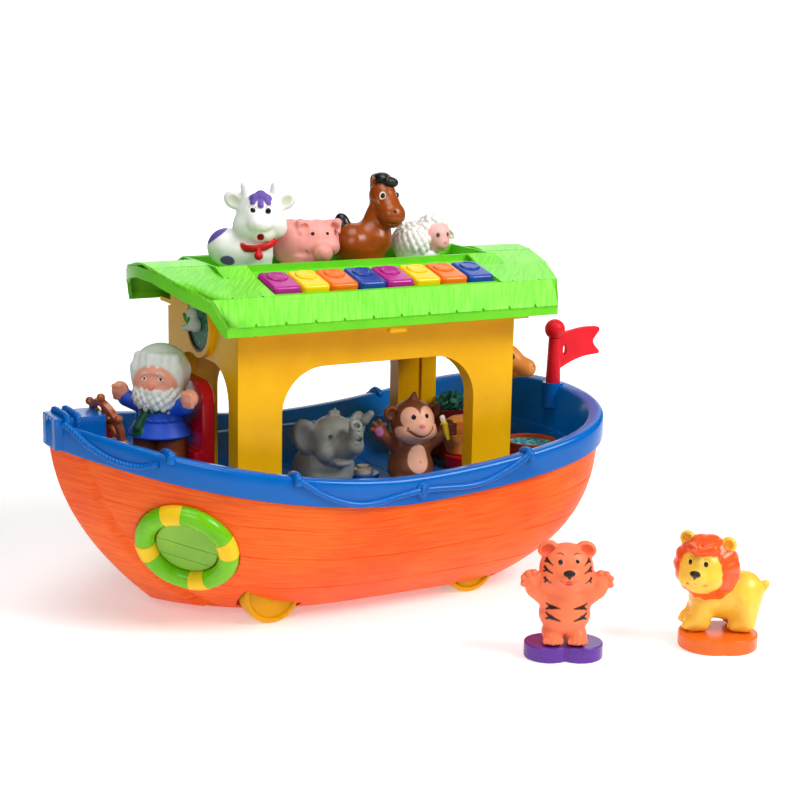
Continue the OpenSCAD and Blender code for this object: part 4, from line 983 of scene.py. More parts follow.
low = np.c_[14.0 * np.cos(angles) + bath_at[0], 14.0 * np.sin(angles) + bath_at[1],
            np.full(96, deck_z + 2.6)]
water = face_out(piece("water", *skin_of(np.array(rings + [low]))))
p = Paint("water_turquoise", {"Coat Weight": 0.5, "Coat Roughness": 0.05})
where = p.place()
ripple = p.noise(where, 150, 2, 0.5, 1.5)
p.feed({"Base Color": p.blend(ripple.step(0.4, 0.66), rgb("#1795a6"), rgb("#6fd6d2")),
        "Roughness": 0.12 + 0.1 * ripple, "Normal": p.bump(ripple, 0.5, 0.6)})
fit(shade(water, 60), p.material, "ark", "bath_water", slot="water_blue")

# Trough: a dark red box of slats on the far side of the deck, heaped with green hay.
trough_h = 36
trough_red = moulded("trough_red_plastic", "#7c1a14", "#5e110d", 0.35)
fit(softened("trough_rounded", "hay_trough", edge=0.6), trough_red, "ark", "hay_trough", slot="trough_red")
hay_core = softened("hay_core", "hay", edge=0.3)
p = Paint("hay_green", {})
where = p.place()
blades = p.noise(p.stretched(where, (1, 1, 0.4)), 480, 3, 0.6, 0.6)
p.feed({"Base Color": p.blend(blades.step(0.35, 0.65), rgb("#124f43"), rgb("#2f8a78")),
        "Roughness": 0.5 + 0.2 * blades, "Normal": p.bump(blades, 0.3, 0.8)})
hay_green = p.material
fit(hay_core, hay_green, "ark", "hay", slot="hay_green")

# Blades of hay, scattered over the heap with geometry nodes and made plain mesh.
blade = bpy.data.objects.new("hay_blade", bpy.data.meshes.new("hay_blade"))
blade.data.from_pydata([(-0.001, 0, 0), (0.001, 0, 0), (0.0011, 0.001, 0.0022),
                        (-0.0011, 0.001, 0.0022), (0, 0.0028, 0.0044), (0, 0.0006, 0.0002)], [],
                       [(0, 1, 2, 3), (3, 2, 4), (1, 0, 5), (0, 3, 5), (3, 4, 5), (4, 2, 5), (2, 1, 5)])
scene.collection.objects.link(blade)


def scatter_tree(name, finish):
    """Geometry nodes that plant a shape on a surface above a height, then make it real."""
    tree = bpy.data.node_groups.new(name, "GeometryNodeTree")
    face = tree.interface
    face.new_socket("Surface", in_out="INPUT", socket_type="NodeSocketGeometry")
    for label, kind in (("Blade", "NodeSocketObject"), ("Count per square metre", "NodeSocketFloat"),
                        ("Lowest point", "NodeSocketFloat"), ("Seed", "NodeSocketInt")):
        face.new_socket(label, in_out="INPUT", socket_type=kind)
    face.new_socket("Shape", in_out="OUTPUT", socket_type="NodeSocketGeometry")
    n = {k: tree.nodes.new(v) for k, v in dict(
        start="NodeGroupInput", end="NodeGroupOutput", spread="GeometryNodeDistributePointsOnFaces",
        plant="GeometryNodeInstanceOnPoints", thing="GeometryNodeObjectInfo",
        real="GeometryNodeRealizeInstances", paint="GeometryNodeSetMaterial",
        place="GeometryNodeInputPosition", parts="ShaderNodeSeparateXYZ", above="FunctionNodeCompare",
        size="FunctionNodeRandomValue").items()}
    n["paint"].inputs["Material"].default_value = finish
    n["above"].data_type, n["above"].operation = "FLOAT", "GREATER_THAN"
    n["size"].data_type = "FLOAT"
    n["size"].inputs[2].default_value, n["size"].inputs[3].default_value = 0.7, 1.25
    for start, output, end, socket in (
            ("start", "Surface", "spread", "Mesh"),
            ("start", "Count per square metre", "spread", "Density"),
            ("start", "Seed", "spread", "Seed"), ("place", 0, "parts", 0), ("parts", "Z", "above", 0),
            ("start", "Lowest point", "above", 1), ("above", 0, "spread", "Selection"),
            ("start", "Blade", "thing", "Object"), ("spread", "Points", "plant", "Points"),
            ("thing", "Geometry", "plant", "Instance"), ("spread", "Rotation", "plant", "Rotation"),
            ("size", 1, "plant", "Scale"), ("plant", "Instances", "real", "Geometry"),
            ("real", "Geometry", "paint", "Geometry"), ("paint", "Geometry", "end", "Shape")):
        tree.links.new(n[start].outputs[output], n[end].inputs[socket])
    return tree


def planted(name, surface, shape, density, lowest, finish, seed):
    """Plain mesh of a shape planted over a surface."""
    obj = bpy.data.objects.new(name, surface.data.copy())
    scene.collection.objects.link(obj)
    live = obj.modifiers.new("planted", "NODES")
    live.node_group = scatter_tree(name + "_nodes", finish)
    sockets = {s.name: s.identifier for s in live.node_group.interface.items_tree if s.in_out == "INPUT"}
    for label, value in (("Blade", shape), ("Count per square metre", density),
                         ("Lowest point", lowest), ("Seed", seed)):
        live[sockets[label]] = value
    return settle(obj)


heap = planted("hay_blades", hay_core, blade, 160000.0, (deck_z + trough_h) * MM, hay_green, 4)
bpy.data.objects.remove(blade)
fit(heap, hay_green, "ark", slot="hay_green")

# Deck button: a cream plastic button on its boss; a press sounds the toy.
cream = moulded("button_cream_plastic", "#e8dfc9", "#d6cab0", 0.36)
button = turned_shape([(0, 0), (7, 0), (7, 7.6), (6.6, 8.6), (5.6, 9.1), (4.7, 9.15), (4.4, 9.6),
                       (4.3, 10.4), (3.8, 10.9), (2.6, 11.1), (0, 11.2)], 64, at(*button_at, deck_z + 1))
button = face_out(joined("button", [([(x, y, min(z, deck_z + 12)) for x, y, z in button[0]], button[1])]))
fit(button, cream, "push_button", "deck_button", slot="button_cream")

# Figures: each is one soft vinyl moulding, painted by hand after moulding. A figure is worked
# like clay: forms are added, pressed in or painted on, and its skin is taken at the end.


def net(field, low, step):
    """Skin of a distance field: a point in every cell that its zero level crosses."""
    inside = field < 0
    n = [s - 1 for s in field.shape]
    corners = np.array([(i, j, k) for i in (0, 1) for j in (0, 1) for k in (0, 1)])
    count = sum(inside[i:n[0] + i, j:n[1] + j, k:n[2] + k].astype(np.int8) for i, j, k in corners)
    crossed = (count > 0) & (count < 8)
    cell = np.argwhere(crossed)
    number = np.full(crossed.shape, -1)
    number[crossed] = np.arange(len(cell))
    value = np.stack([field[tuple((cell + c).T)] for c in corners], axis=1)
    total, hits = np.zeros((len(cell), 3)), np.zeros(len(cell))
    for a in range(8):
        for b in range(a + 1, 8):
            if np.abs(corners[a] - corners[b]).sum() != 1:
                continue
            va, vb = value[:, a], value[:, b]
            cross = (va < 0) != (vb < 0)
            t = np.where(cross, va / np.where(cross, va - vb, 1), 0)
            total += cross[:, None] * (corners[a] + t[:, None] * (corners[b] - corners[a]))
            hits += cross
    points = low + step * (cell + total / hits[:, None])
    faces = []
    for axis in range(3):
        u, v = (axis + 1) % 3, (axis + 2) % 3
        first, second = [slice(None)] * 3, [slice(None)] * 3
        first[axis], second[axis] = slice(0, -1), slice(1, None)
        flips = inside[tuple(first)] != inside[tuple(second)]
        e = np.argwhere(flips)
        e = e[(e[:, u] > 0) & (e[:, v] > 0) & (e[:, u] < n[u]) & (e[:, v] < n[v])]
        quad = []
        for du, dv in ((1, 1), (0, 1), (0, 0), (1, 0)):
            q = e.copy()
            q[:, u] -= du
            q[:, v] -= dv
            quad.append(number[tuple(q.T)])
        quad = np.stack(quad, axis=1)
        outwards = inside[tuple(e.T)]
        faces.append(np.where(outwards[:, None], quad, quad[:, ::-1]))
    faces = np.concatenate(faces)
    links = np.concatenate([faces[:, [0, 1]], faces[:, [1, 2]], faces[:, [2, 3]], faces[:, [3, 0]]])
    weight = np.bincount(links.ravel(), minlength=len(points))[:, None]
    for pull in (0.5, -0.52, 0.5, -0.52, 0.4):
        mean = np.zeros_like(points)
        for k in range(3):
            mean[:, k] = (np.bincount(links[:, 0], points[links[:, 1], k], len(points))
                          + np.bincount(links[:, 1], points[links[:, 0], k], len(points)))
        points = points + pull * (mean / weight - points)
    return points, faces


def tilted(turn):
    """Rows of a turn about X, then Y, then Z, in degrees."""
    x, y, z = (Matrix.Rotation(radians(angle), 3, axis) for angle, axis in zip(turn, "XYZ"))
    return np.array(z @ y @ x)


eye_ball = pod((-0.01, 0, 0), (0.01, 0, 0), 1, 1)


class Clay:
    """One figure in the making, in its own frame: it faces -Y and its feet are at the origin."""

    def __init__(self, low, high):
        self.low, self.step = np.array(low, float), 0.55
        self.field = np.full(np.ceil((np.array(high) - self.low) / self.step).astype(int) + 1, 5.0)
        self.coats, self.beads, self.frame = [], [], Matrix.Identity(4)

    def form(self, how, distance, middle, reach, colour, k, twin):
        rows, shift = np.array(self.frame.to_3x3()), np.array(self.frame.translation)

        def away(p):
            q = (p - shift) @ rows
            if twin:
                q = np.c_[np.abs(q[:, 0]), q[:, 1:]]
            return distance(q)
        self.coats.append((how, away, colour))
        if how == "paint":
            return self
        for side in ((1, -1) if twin else (1,)):
            centre = rows @ (np.array(middle, float) * (side, 1, 1)) + shift
            span = reach + k + 1.5
            lo = np.clip(np.floor((centre - span - self.low) / self.step).astype(int), 0, self.field.shape)
            hi = np.clip(np.ceil((centre + span - self.low) / self.step).astype(int) + 1, 0,
                         self.field.shape)
            if (hi <= lo).any():
                continue
            part = tuple(slice(a, b) for a, b in zip(lo, hi))
            axes = [self.low[i] + self.step * np.arange(lo[i], hi[i]) for i in range(3)]
            grid = np.stack(np.meshgrid(*axes, indexing="ij"), axis=-1)
            d, f = away(grid.reshape(-1, 3)).reshape(grid.shape[:3]), self.field[part]
            if how == "press":
                h = np.clip(0.5 - 0.5 * (f + d) / k, 0, 1)
                self.field[part] = np.maximum(f, f + (-d - f) * h + k * h * (1 - h))
            else:
                h = np.clip(0.5 + 0.5 * (f - d) / k, 0, 1)
                self.field[part] = np.minimum(f, f + (d - f) * h - k * h * (1 - h))
        return self

    def ball(self, c, r, colour=None, k=2.0, turn=(0, 0, 0), twin=False, how="add"):
        c, r, rows = np.array(c, float), np.broadcast_to(np.array(r, float), 3), tilted(turn)

        def distance(p):
            q = (p - c) @ rows
            a, b = np.linalg.norm(q / r, axis=1), np.linalg.norm(q / r ** 2, axis=1)
            return a * (a - 1) / np.maximum(b, 1e-6)
        return self.form(how, distance, c, r.max(), colour, k, twin)

    def limb(self, a, b, ra, rb, colour=None, k=2.0, twin=False, how="add"):
        a, b = np.array(a, float), np.array(b, float)
        d = b - a

        def distance(p):
            t = np.clip((p - a) @ d / (d @ d), 0, 1)
            return np.linalg.norm(p - a - t[:, None] * d, axis=1) - (ra + t * (rb - ra))
        return self.form(how, distance, (a + b) / 2, np.linalg.norm(d) / 2 + max(ra, rb), colour, k, twin)

    def path(self, points, r, colour=None, k=0.6, twin=False, how="paint"):
        for a, b in zip(points, points[1:]):
            self.limb(a, b, r, r, colour, k, twin, how)
        return self

    def peg(self, c, r0, r1, h, colour=None, k=2.0, twin=False, edge=2.0):
        c = np.array(c, float)

        def distance(p):
            q = p - c
            wide = r0 + (r1 - r0) * np.clip(q[:, 2] / h, 0, 1)
            dx = np.hypot(q[:, 0], q[:, 1]) - wide + edge
            dz = np.abs(q[:, 2] - h / 2) - h / 2 + edge
            outside = np.hypot(np.maximum(dx, 0), np.maximum(dz, 0))
            return outside + np.minimum(np.maximum(dx, dz), 0) - edge
        return self.form("add", distance, c + (0, 0, h / 2), max(r0, r1, h / 2) * 1.3, colour, k, twin)

    def ring(self, c, big, r, colour=None, k=0.8, turn=(0, 0, 0), tall=1.0, twist=0):
        c, rows = np.array(c, float), tilted(turn)

        def distance(p):
            q = (p - c) @ rows
            x, z = np.hypot(q[:, 0], q[:, 1]) - big, q[:, 2] / tall
            d = np.hypot(x, z) - r
            if twist:
                d = d - 0.16 * r * np.cos(2 * np.arctan2(z, x) + twist * np.arctan2(q[:, 1], q[:, 0]))
            return d
        return self.form("add", distance, c, big + r * max(1, tall), colour, k, False)

    def front(self, x, z, back=0.0):
        """Point of the surface met from the front at x, z of the present frame."""
        rows, shift = np.array(self.frame.to_3x3()), np.array(self.frame.translation)
        y = np.arange(-34, 20, 0.1)
        p = np.c_[np.full(len(y), x), y, np.full(len(y), z)] @ rows.T + shift
        spot = np.clip(np.rint((p - self.low) / self.step).astype(int), 0, np.array(self.field.shape) - 1)
        hit = np.argmax(self.field[tuple(spot.T)] < 0)
        return (x, y[hit] + back, z)

    def bead(self, x, z, rx, rz, deep=0.9, sink=0.35):
        """Glossy eye set on the face."""
        p = self.front(x, z)
        left, right = self.front(x - 1.5, z), self.front(x + 1.5, z)
        yaw = degrees(atan2(right[1] - left[1], 3.0))
        place = self.frame @ at(p[0], p[1] + sink, p[2], yaw)
        self.beads.append((moved(eye_ball[0] * (rx, deep, rz), place), eye_ball[1]))
        return self

    def finish(self, who, place, finish, slot, base):
        name = who + "_figure"
        points, faces = net(self.field, self.low, self.step)
        colour, near = np.tile(np.array(rgb(base)[:3]), (len(points), 1)), np.full(len(points), 1e9)
        for how, away, tint in self.coats:
            if how == "press" and tint is None:
                continue
            d = away(points)
            if how == "add":
                w = np.clip(0.5 + (near - d) / 0.6, 0, 1)
                near = np.minimum(near, d)
                tint = tint or base
            else:
                # A coat pressed in with a colour tints its hollow. Where that colour is a darker tone of the
                # skin round it, as in ears, mouth grooves, nostrils and the navel, the tint is painted shade.
                w = np.clip(0.5 - (d - (0.25 if how == "press" else 0)) / 0.5, 0, 1)
            colour += (np.array(rgb(tint)[:3]) - colour) * w[:, None]
        obj = piece(name, moved(points, place), faces.tolist(), 180)
        coat = obj.data.color_attributes.new("coat", "FLOAT_COLOR", "POINT")
        coat.data.foreach_set("color", np.c_[colour, np.ones(len(colour))].ravel())
        fit(obj, finish, name, who, slot=slot)
        if self.beads:
            eyes = face_out(joined(name + "_eyes", [(moved(p, place), f) for p, f in self.beads]))
            fit(eyes, eye_black, name, slot=slot)
        return obj


def vinyl(name, rough=0.42, coat=0.0):
    """Soft vinyl with its hand-sprayed colours and the painted shade in its hollows, which the mesh carries.
    """
    p = Paint(name, {"Coat Weight": coat, "Coat Roughness": 0.2, "Specular IOR Level": 0.3})
    where = p.place()
    sprayed_and_shade = p.node("Attribute", {"attribute_name": "coat"}, {}, "Color")
    flow, fine = p.noise(where, 55, 3), p.noise(where, 900, 2)
    dark = p.vector("MULTIPLY", sprayed_and_shade, (0.86, 0.84, 0.84))
    p.feed({"Base Color": p.blend(flow.step(0.25, 0.6), dark, sprayed_and_shade),
            "Roughness": rough + 0.14 * (flow - 0.5) + 0.12 * (fine - 0.5),
            "Normal": p.bump(fine, 0.06, 0.5)})
    return p.material


eye_black = moulded("eye_black_paint", "#0b0a0a", "#050505", 0.12, coat=0.6)
soft_vinyl, shiny_vinyl = vinyl("soft_vinyl"), vinyl("shiny_vinyl", 0.3, 0.25)
stand_gap, base_h, recess_z, ground_z = 0.1, 9.5, 209, -7.5


def standing(x, y, z, turn):
    return at(x, y, z + stand_gap, -turn)


# Cow: white with violet patches, forelock and a red collar with a bell; its head is turned.
white, violet, red = "#f4f3f0", "#6b52a8", "#d8161c"
cow = Clay((-34, -30, -0.4), (34, 27, 67))
cow.peg((0, 3, 0), 15, 15.5, 17)
cow.limb((-2, 3, 15), (-14, 8, 19.5), 14.5, 12.5)
cow.limb((0, -2, 17), (2, -5, 33), 13, 10)
cow.ball((-19, 12, 27), (8, 9, 8.5), violet, turn=(0, 20, 0), how="paint")
cow.ball((-20.5, -1.5, 11.5), (5, 5, 4), violet, how="paint")
cow.ball((14, 6, 14), (6, 7, 6), violet, how="paint")
cow.frame = at(2.5, -6, 40, -35)
cow.ball((0, 0, 0.5), (15.2, 13.8, 15)).ball((10, -3, -6.0), (7.6, 7.6, 8), k=4, twin=True)
cow.ball((0, -11.6, -3.4), (8.4, 7.0, 6.0), k=1.8).ball((0, -7, -10.6), (9, 7.6, 5.6), k=2.4)
cow.ball((16.6, 1.5, 10.2), (7.2, 3.0, 5.8), k=2.4, turn=(0, -34, 8), twin=True)
# The greyer white inside the ears is painted shade.
cow.ball((17.2, -1.8, 10.4), (4.6, 1.9, 3.4), "#d9dcc8", k=1.5, turn=(0, -34, 8), twin=True, how="press")
cow.limb((8.6, 0, 12), (9.8, 0, 19.4), 3.4, 2.9, k=2, twin=True)
# The greyer line of the mouth groove is painted shade.
cow.path([(-9.4, -13, -6.0), (-7.5, -15.5, -9.0), (-3.5, -17, -10.4), (3.5, -17, -10.4), (7.5, -15.5, -9.0),
          (9.4, -13, -6.0)], 0.7, "#c9cdb4", how="press")
cow.ball((0, -13.6, -12.0), (2.1, 3.4, 2.2), "#c9161a", k=0.6, how="press")
cow.ball((-3.4, -16.8, -3.6), (0.9, 1.2, 0.6), "#e6cfc6", k=0.4, twin=True, how="press")
for x, z, r in ((-4.2, 12.2, 2.9), (0.2, 13.3, 4.2), (4.4, 12.0, 2.9)):
    cow.ball((x, -6.2, z), (r, 3.6, r), violet, k=1.2)
for x, z in ((-4.6, 9.6), (0.2, 7.8), (4.8, 9.4)):
    cow.limb((x * 0.7, -7.4, z + 3), cow.front(x, z, 0.5), 2.6, 1.9, violet, k=1.0)
for s in (-1, 1):
    cow.ball(cow.front(s * 5.2, 4.8), (2.7, 1.6, 2.9), "#ffffff", how="paint")
    cow.path([cow.front(s * x, z) for x, z in ((3.0, 6.6), (4.2, 7.8), (6.0, 8.0), (7.4, 6.9))], 0.24,
             "#2a2020", how="paint")
    cow.bead(s * 4.9, 4.5, 2.0, 2.3)
cow.frame = at(0.6, -4.5, 24.5, -30)
cow.ring((0, 0, 0), 12.9, 1.3, red, turn=(16, -8, 0), tall=1.8)
cow.limb((0, -13.2, -4.0), (0, -13.8, -6.0), 1.0, 1.3, red, k=0.4)
cow.ball((0, -14.0, -8.4), (3.0, 2.6, 2.8), red, k=0.8)
cow.finish("cow", standing(-66, 0, recess_z, -12), soft_vinyl, "cow_white", white)

# Pig: pink, lying on its belly, with pointed ears and a round snout.
pink = "#f2a097"
pig = Clay((-30, -32, -0.4), (30, 30, 44))
pig.peg((0, 1, 0), 15, 15.5, 14)
pig.limb((-5, 7, 18), (3, -2, 18), 14.5, 13.5, k=3)
pig.ball((-7, 8, 23), (13, 13, 13), k=4)
pig.frame = at(4.5, -5, 23, -40)
pig.ball((0, 0, 0), (14.6, 13.2, 13)).ball((7.5, -7, -4.5), (6.6, 6, 5.8), k=3, twin=True)
pig.limb((0.5, -10, -5), (1, -18.0, -7.0), 6.2, 5.6, k=2)
pig.ball((1.0, -19.4, -7.2), (6.0, 2.4, 5.6), "#f8b08e", k=0.8)
# The darker pink of the nostrils is painted shade in their pits.
pig.ball((-0.4, -21.3, -6.6), (0.9, 1.4, 1.5), "#d9796a", k=0.4, how="press")
pig.ball((2.4, -21.3, -6.6), (0.9, 1.4, 1.5), "#d9796a", k=0.4, how="press")
for s in (-1, 1):
    pig.limb((s * 7.5, -4, 9.5), (s * 12.5, -6.5, 11.5), 4.0, 2.4, k=2)
    pig.limb((s * 12.5, -6.5, 11.5), (s * 12.8, -9.0, 5.6), 2.4, 1.3, k=2)
    # The darker pink inside the ears is painted shade.
    pig.limb((s * 9.2, -8.6, 9.5), (s * 12.0, -9.8, 8.6), 1.9, 1.2, "#ec8f80", k=1.2, how="press")
    pig.bead(s * 4.8, 4.6, 1.25, 1.5)
# The darker pink of the mouth groove is painted shade.
pig.path([(-9.4, -12.6, -6.8), (-6.8, -14.4, -9.6), (-3.4, -15.6, -11.6), (4.6, -15.2, -11.6),
          (9.0, -12.4, -7.6)], 0.6, "#d98474", how="press")
pig.path([pig.front(0, z) for z in (11, 8, 5, 2)], 0.24, "#f8b7ab", k=0.4, how="add")
pig.frame = Matrix.Identity(4)
pig.limb((-14, 17, 24), (-16, 20, 28), 2.2, 1.5, k=1).limb((-16, 20, 28), (-13, 21.5, 28), 1.5, 1.2, k=1)
pig.finish("pig", standing(-25, 2, recess_z, -24), soft_vinyl, "pig_pink", pink)

# Horse: brown and shiny, with a black mane, forelock and tail.
brown, black = "#9a4608", "#171614"
horse = Clay((-30, -30, -0.4), (32, 32, 72))
horse.peg((0, 4, 0), 14, 14.5, 16).limb((-6, 8, 18), (4, -2, 20), 14.2, 12, k=3)
horse.limb((3, -2, 22), (10.5, -4, 44), 11.5, 7.6, k=4)
horse.ball((-9, 15, 31), (4.6, 5.4, 7.6), black, turn=(-20, 0, 0), k=1.5)
for i in range(5):
    horse.limb((-12 + 1.6 * i, 13.4 + i * 0.6, 25), (-10.5 + 1.0 * i, 16, 38), 0.35, 0.3, k=0.5,
               how="press")
horse.frame = at(10, -5.5, 50, -28)
horse.ball((0, 0.5, 0), (9.0, 9.6, 10.2)).limb((0, -3, -2), (-0.4, -9.6, -11.0), 8.0, 8.8, k=2.5)
horse.ball((-0.6, -11.6, -12.4), (9.4, 8.6, 8.6), k=2)
horse.ball((7.6, 0, -7.6), (3.0, 3.2, 3.2), k=1.2, twin=True)
horse.ring((0, -5.5, -3.6), 8.9, 0.75, k=1.0, turn=(52, 0, 0), tall=1.5)
# The darker brown of the mouth groove and the nostrils is painted shade.
horse.path([(-8.8, -10.4, -15.8), (-6.0, -16.4, -17.0), (-0.6, -19.0, -17.4), (5.2, -16.6, -17.0),
            (8.0, -10.4, -15.8)], 0.55, "#7a3404", how="press")
horse.ball((3.6, -18.8, -9.6), (1.1, 1.2, 0.8), "#7a3404", k=0.5, how="press", twin=True)
horse.ball((6.6, 1.5, 8.8), (2.6, 2.0, 3.8), turn=(0, 18, 0), k=1.2, twin=True)
# The darker brown inside the ears is painted shade.
horse.ball((6.8, -0.3, 8.9), (1.4, 1.2, 2.4), "#74310a", turn=(0, 18, 0), k=0.6, twin=True, how="press")
horse.limb((0, 8, 10), (0, 9, -8), 4.4, 3.8, black, k=1.2)
horse.ball((-0.5, 1.0, 11.0), (6.2, 7.6, 4.6), black, k=1.0)
horse.ball((1.8, -6.4, 9.4), (5.8, 4.0, 3.6), black, turn=(0, 14, 0), k=0.8)
for i in range(4):
    horse.path([(-3 + 2 * i, 6.5, 13.5), (-2 + 1.8 * i, 0, 15.8), (-1 + 1.7 * i, -6, 13.6),
                (-0.4 + 1.6 * i, -10, 10)], 0.34, None, k=0.4, how="press")
for s in (-1, 1):
    horse.ball(horse.front(s * 5.9, 0.6), (2.3, 2.2, 2.9), "#f6f2ea", how="paint")
    horse.bead(s * 5.6, 0.4, 1.6, 2.2, 1.5, 0.5)
horse.finish("horse", standing(21, 2, recess_z, -35), shiny_vinyl, "horse_brown", brown)

# Sheep: cream wool in thick locks and curls round a pink face.
wool, face_pink = "#f1efe8", "#f6b9b2"
sheep = Clay((-30, -32, -0.4), (30, 30, 42))
sheep.peg((0, 2, 0), 13.6, 14, 12).limb((-4, 6, 15), (3, 1, 16.5), 13.0, 12.0, k=3)
sheep.frame = at(5, -6, 23.5, -32)
sheep.ball((0, 0, 0.5), (10.8, 10.2, 11)).ball((0, -5.2, -1.6), (9.6, 8.0, 9.8), face_pink, k=1.2)
sheep.ball((1.2, -9.0, -6.6), (5.6, 5.2, 5.0), face_pink, k=2.5)
sheep.frame = Matrix.Identity(4)


def curls(count, reach, middle, size):
    """Even places down an egg from its top, `reach` of its height, a golden angle apart."""
    for i in range(count):
        z, a = 1 - (i + 0.5) / count * reach, i * pi * (3 - sqrt(5))
        r = sqrt(max(0, 1 - z * z))
        yield np.array(middle) + np.array(size) * (r * cos(a), r * sin(a), z)


for p in curls(110, 1.25, (-1.5, 4.5, 16.0), (14.6, 15.0, 13.2)):
    if p[2] >= 2.5 and not (p[1] < -7 and p[0] > -7):
        sheep.ball(p, (1.9, 1.9, 2.9), wool, k=0.9)
sheep.frame = at(5, -6, 23.5, -32)
for p in curls(80, 1.7, (0, 0.6, 0.8), (10.4, 10.4, 11.0)):
    if not (p[2] < 3.6 and p[1] < -0.5 or p[2] < 7.4 and p[1] < -5.5):
        sheep.ball(p, 2.2, wool, k=0.8)
sheep.ball((12.6, -0.5, -0.6), (5.6, 2.2, 2.9), wool, k=1.2, turn=(0, 42, -14), twin=True)
# The darker cream inside the ears is painted shade.
sheep.ball((13.2, -2.2, -1.2), (3.6, 1.1, 1.5), "#e3d7bf", k=0.8, turn=(0, 42, -14), twin=True, how="press")
# The darker pink of the mouth groove is painted shade.
sheep.path([(-2.6, -11.6, -9.4), (0.6, -13.8, -10.0), (3.6, -13.4, -9.4), (5.2, -11.4, -8.6)], 0.45,
           "#d98f86", how="press")
sheep.ball((1.6, -13.9, -5.2), (1.5, 1.0, 0.9), "#f09a94", k=0.6)
for s in (-1, 1):
    sheep.ball(sheep.front(s * 3.9 + 0.4, -0.2), (1.5, 1.2, 1.8), "#7d706c", how="paint")
    sheep.bead(s * 3.9 + 0.4, -0.2, 0.95, 1.25, 0.7)
sheep.finish("sheep", standing(63, 3, recess_z, -34), soft_vinyl, "sheep_white", wool)

# Elephant: grey, its trunk raised between two spread ears.
grey = "#858983"
elephant = Clay((-36, -34, -0.4), (36, 30, 64))
elephant.peg((0, 2, 0), 16.8, 17.2, 15).limb((-4, 6, 16), (3, 0, 18), 17.4, 15.5, k=3)
elephant.peg((9, -9, 0), 7, 6.6, 8, k=2, twin=True)
for x in (4.5, 8.5, 12.5):
    elephant.ball((x, -15.2 + abs(x - 8.5) * 0.3, 2.0), (1.7, 1.2, 1.6), "#b9b5a4", k=0.5, twin=True)
elephant.frame = at(1, -5, 37.5, -4)
elephant.ball((0, 0, 1), (15.8, 14.4, 15.8)).ball((8.6, -8, -6.0), (6.8, 6.8, 7.2), k=3, twin=True)
elephant.ball((0, -6.5, -12.0), (8.6, 8.0, 5.0), k=2.5)
for s, rise, tip in ((-1, 0.0, 26), (1, 2.4, 40)):
    elephant.ball((s * 18.5, 3.0, 3.0 + rise), (9.0, 3.4, 12.0), k=4, turn=(0, s * tip * 0.54, s * 26))
    elephant.ball((s * 20.6, -0.6, 3.0 + rise), (5.6, 2.6, 8.2), k=2, turn=(0, s * tip * 0.54, s * 26),
                  how="press")
elephant.limb((24, 1, 11), (27.5, -1, 15.5), 3.4, 2.4, k=2)
elephant.limb((3, -13, -3.5), (6.5, -19.5, -0.5), 7.6, 6.2, k=3)
elephant.limb((6.5, -19.5, -0.5), (7.0, -20.8, 7.0), 6.2, 4.8, k=2)
elephant.limb((7.0, -20.8, 7.0), (7.0, -20.4, 11.0), 4.7, 4.5, k=1.5)
elephant.ring((7.0, -21.2, 13.4), 3.3, 1.5, k=1.0, turn=(52, 0, 0))
# The darker grey in the trunk's end is painted shade.
elephant.ball((7.0, -23.0, 14.2), (2.0, 2.0, 2.0), "#5d605b", k=0.6, how="press")
for k in range(4):
    elephant.path([(2.6, -22.6 + 0.5 * k, 1.6 + 3 * k), (7, -27.2 + 0.7 * k, 1.0 + 3 * k),
                   (11.2, -22.6 + 0.5 * k, 1.6 + 3 * k)], 0.35, None, k=0.5, how="press")
# The dark grey of the mouth groove is painted shade.
elephant.path([(-7.6, -15.2, -8.4), (-4.2, -18.4, -10.6), (0, -19.2, -11.4), (4.2, -18.4, -10.8),
               (8.6, -15.2, -9.0)], 0.9, "#4c4f4b", k=0.8, how="press")
elephant.ball((1.0, -14.8, -12.6), (6.4, 4.0, 2.8), "#8e908a", k=1.6)
for s, z in ((-1.2, 19), (0.6, 20.5), (2.2, 18.6)):
    elephant.limb((s, 1.5, 13), (s * 1.6, -0.5, z), 3.6, 1.3, k=1.2)
for s in (-1, 1):
    elephant.ball(elephant.front(s * 7.6 + 0.5, 5.0), (2.3, 1.4, 2.0), "#5c605c", how="paint")
    elephant.bead(s * 7.6 + 0.5, 5.0, 1.4, 1.3, 0.6)
elephant.frame = Matrix.Identity(4)
elephant.finish("elephant", standing(-19, -20, deck_z, -2), soft_vinyl, "elephant_grey", grey)

# Monkey: brown with a peach face and belly, arms up, and a peeled banana in one hand.
fur, peach = "#7a4325", "#f0b294"
monkey = Clay((-36, -28, -0.4), (36, 22, 69))
monkey.limb((8, -2, 5.4), (10, -8, 5.0), 5.4, 5.2, k=2, twin=True)
monkey.limb((0, 1, 15), (0, 0, 27), 15, 12.2, k=3)
monkey.ball((0, 0, 12), (15, 14, 11.5), k=4)
monkey.limb((10, -1, 28), (22.5, -5, 37.5), 5.8, 4.6, k=3, twin=True)
monkey.ball((24.2, -5.2, 41), (5.2, 3.8, 5.4), k=1.5, twin=True)
for dx, dz in ((-5.0, 0.4), (-3.6, 4.4), (0.4, 5.9), (4.0, 3.6)):
    monkey.limb((-24.6, -5.4, 41), (-24.6 + dx, -6.6, 41 + dz), 1.9, 1.8, k=0.7)
for dz in (-3.4, -0.6, 2.2):
    monkey.limb((24.5, -7.6, 40.5 + dz), (28.4, -8.2, 40.5 + dz), 1.6, 1.6, k=0.7)
monkey.ball((-24.8, -8.6, 40.2), (2.9, 2.2, 3.3), "#b86a9a", how="paint")
monkey.ball((2.2, -14, 21.5), (8.2, 6.5, 10.2), peach, k=1.0, how="paint")
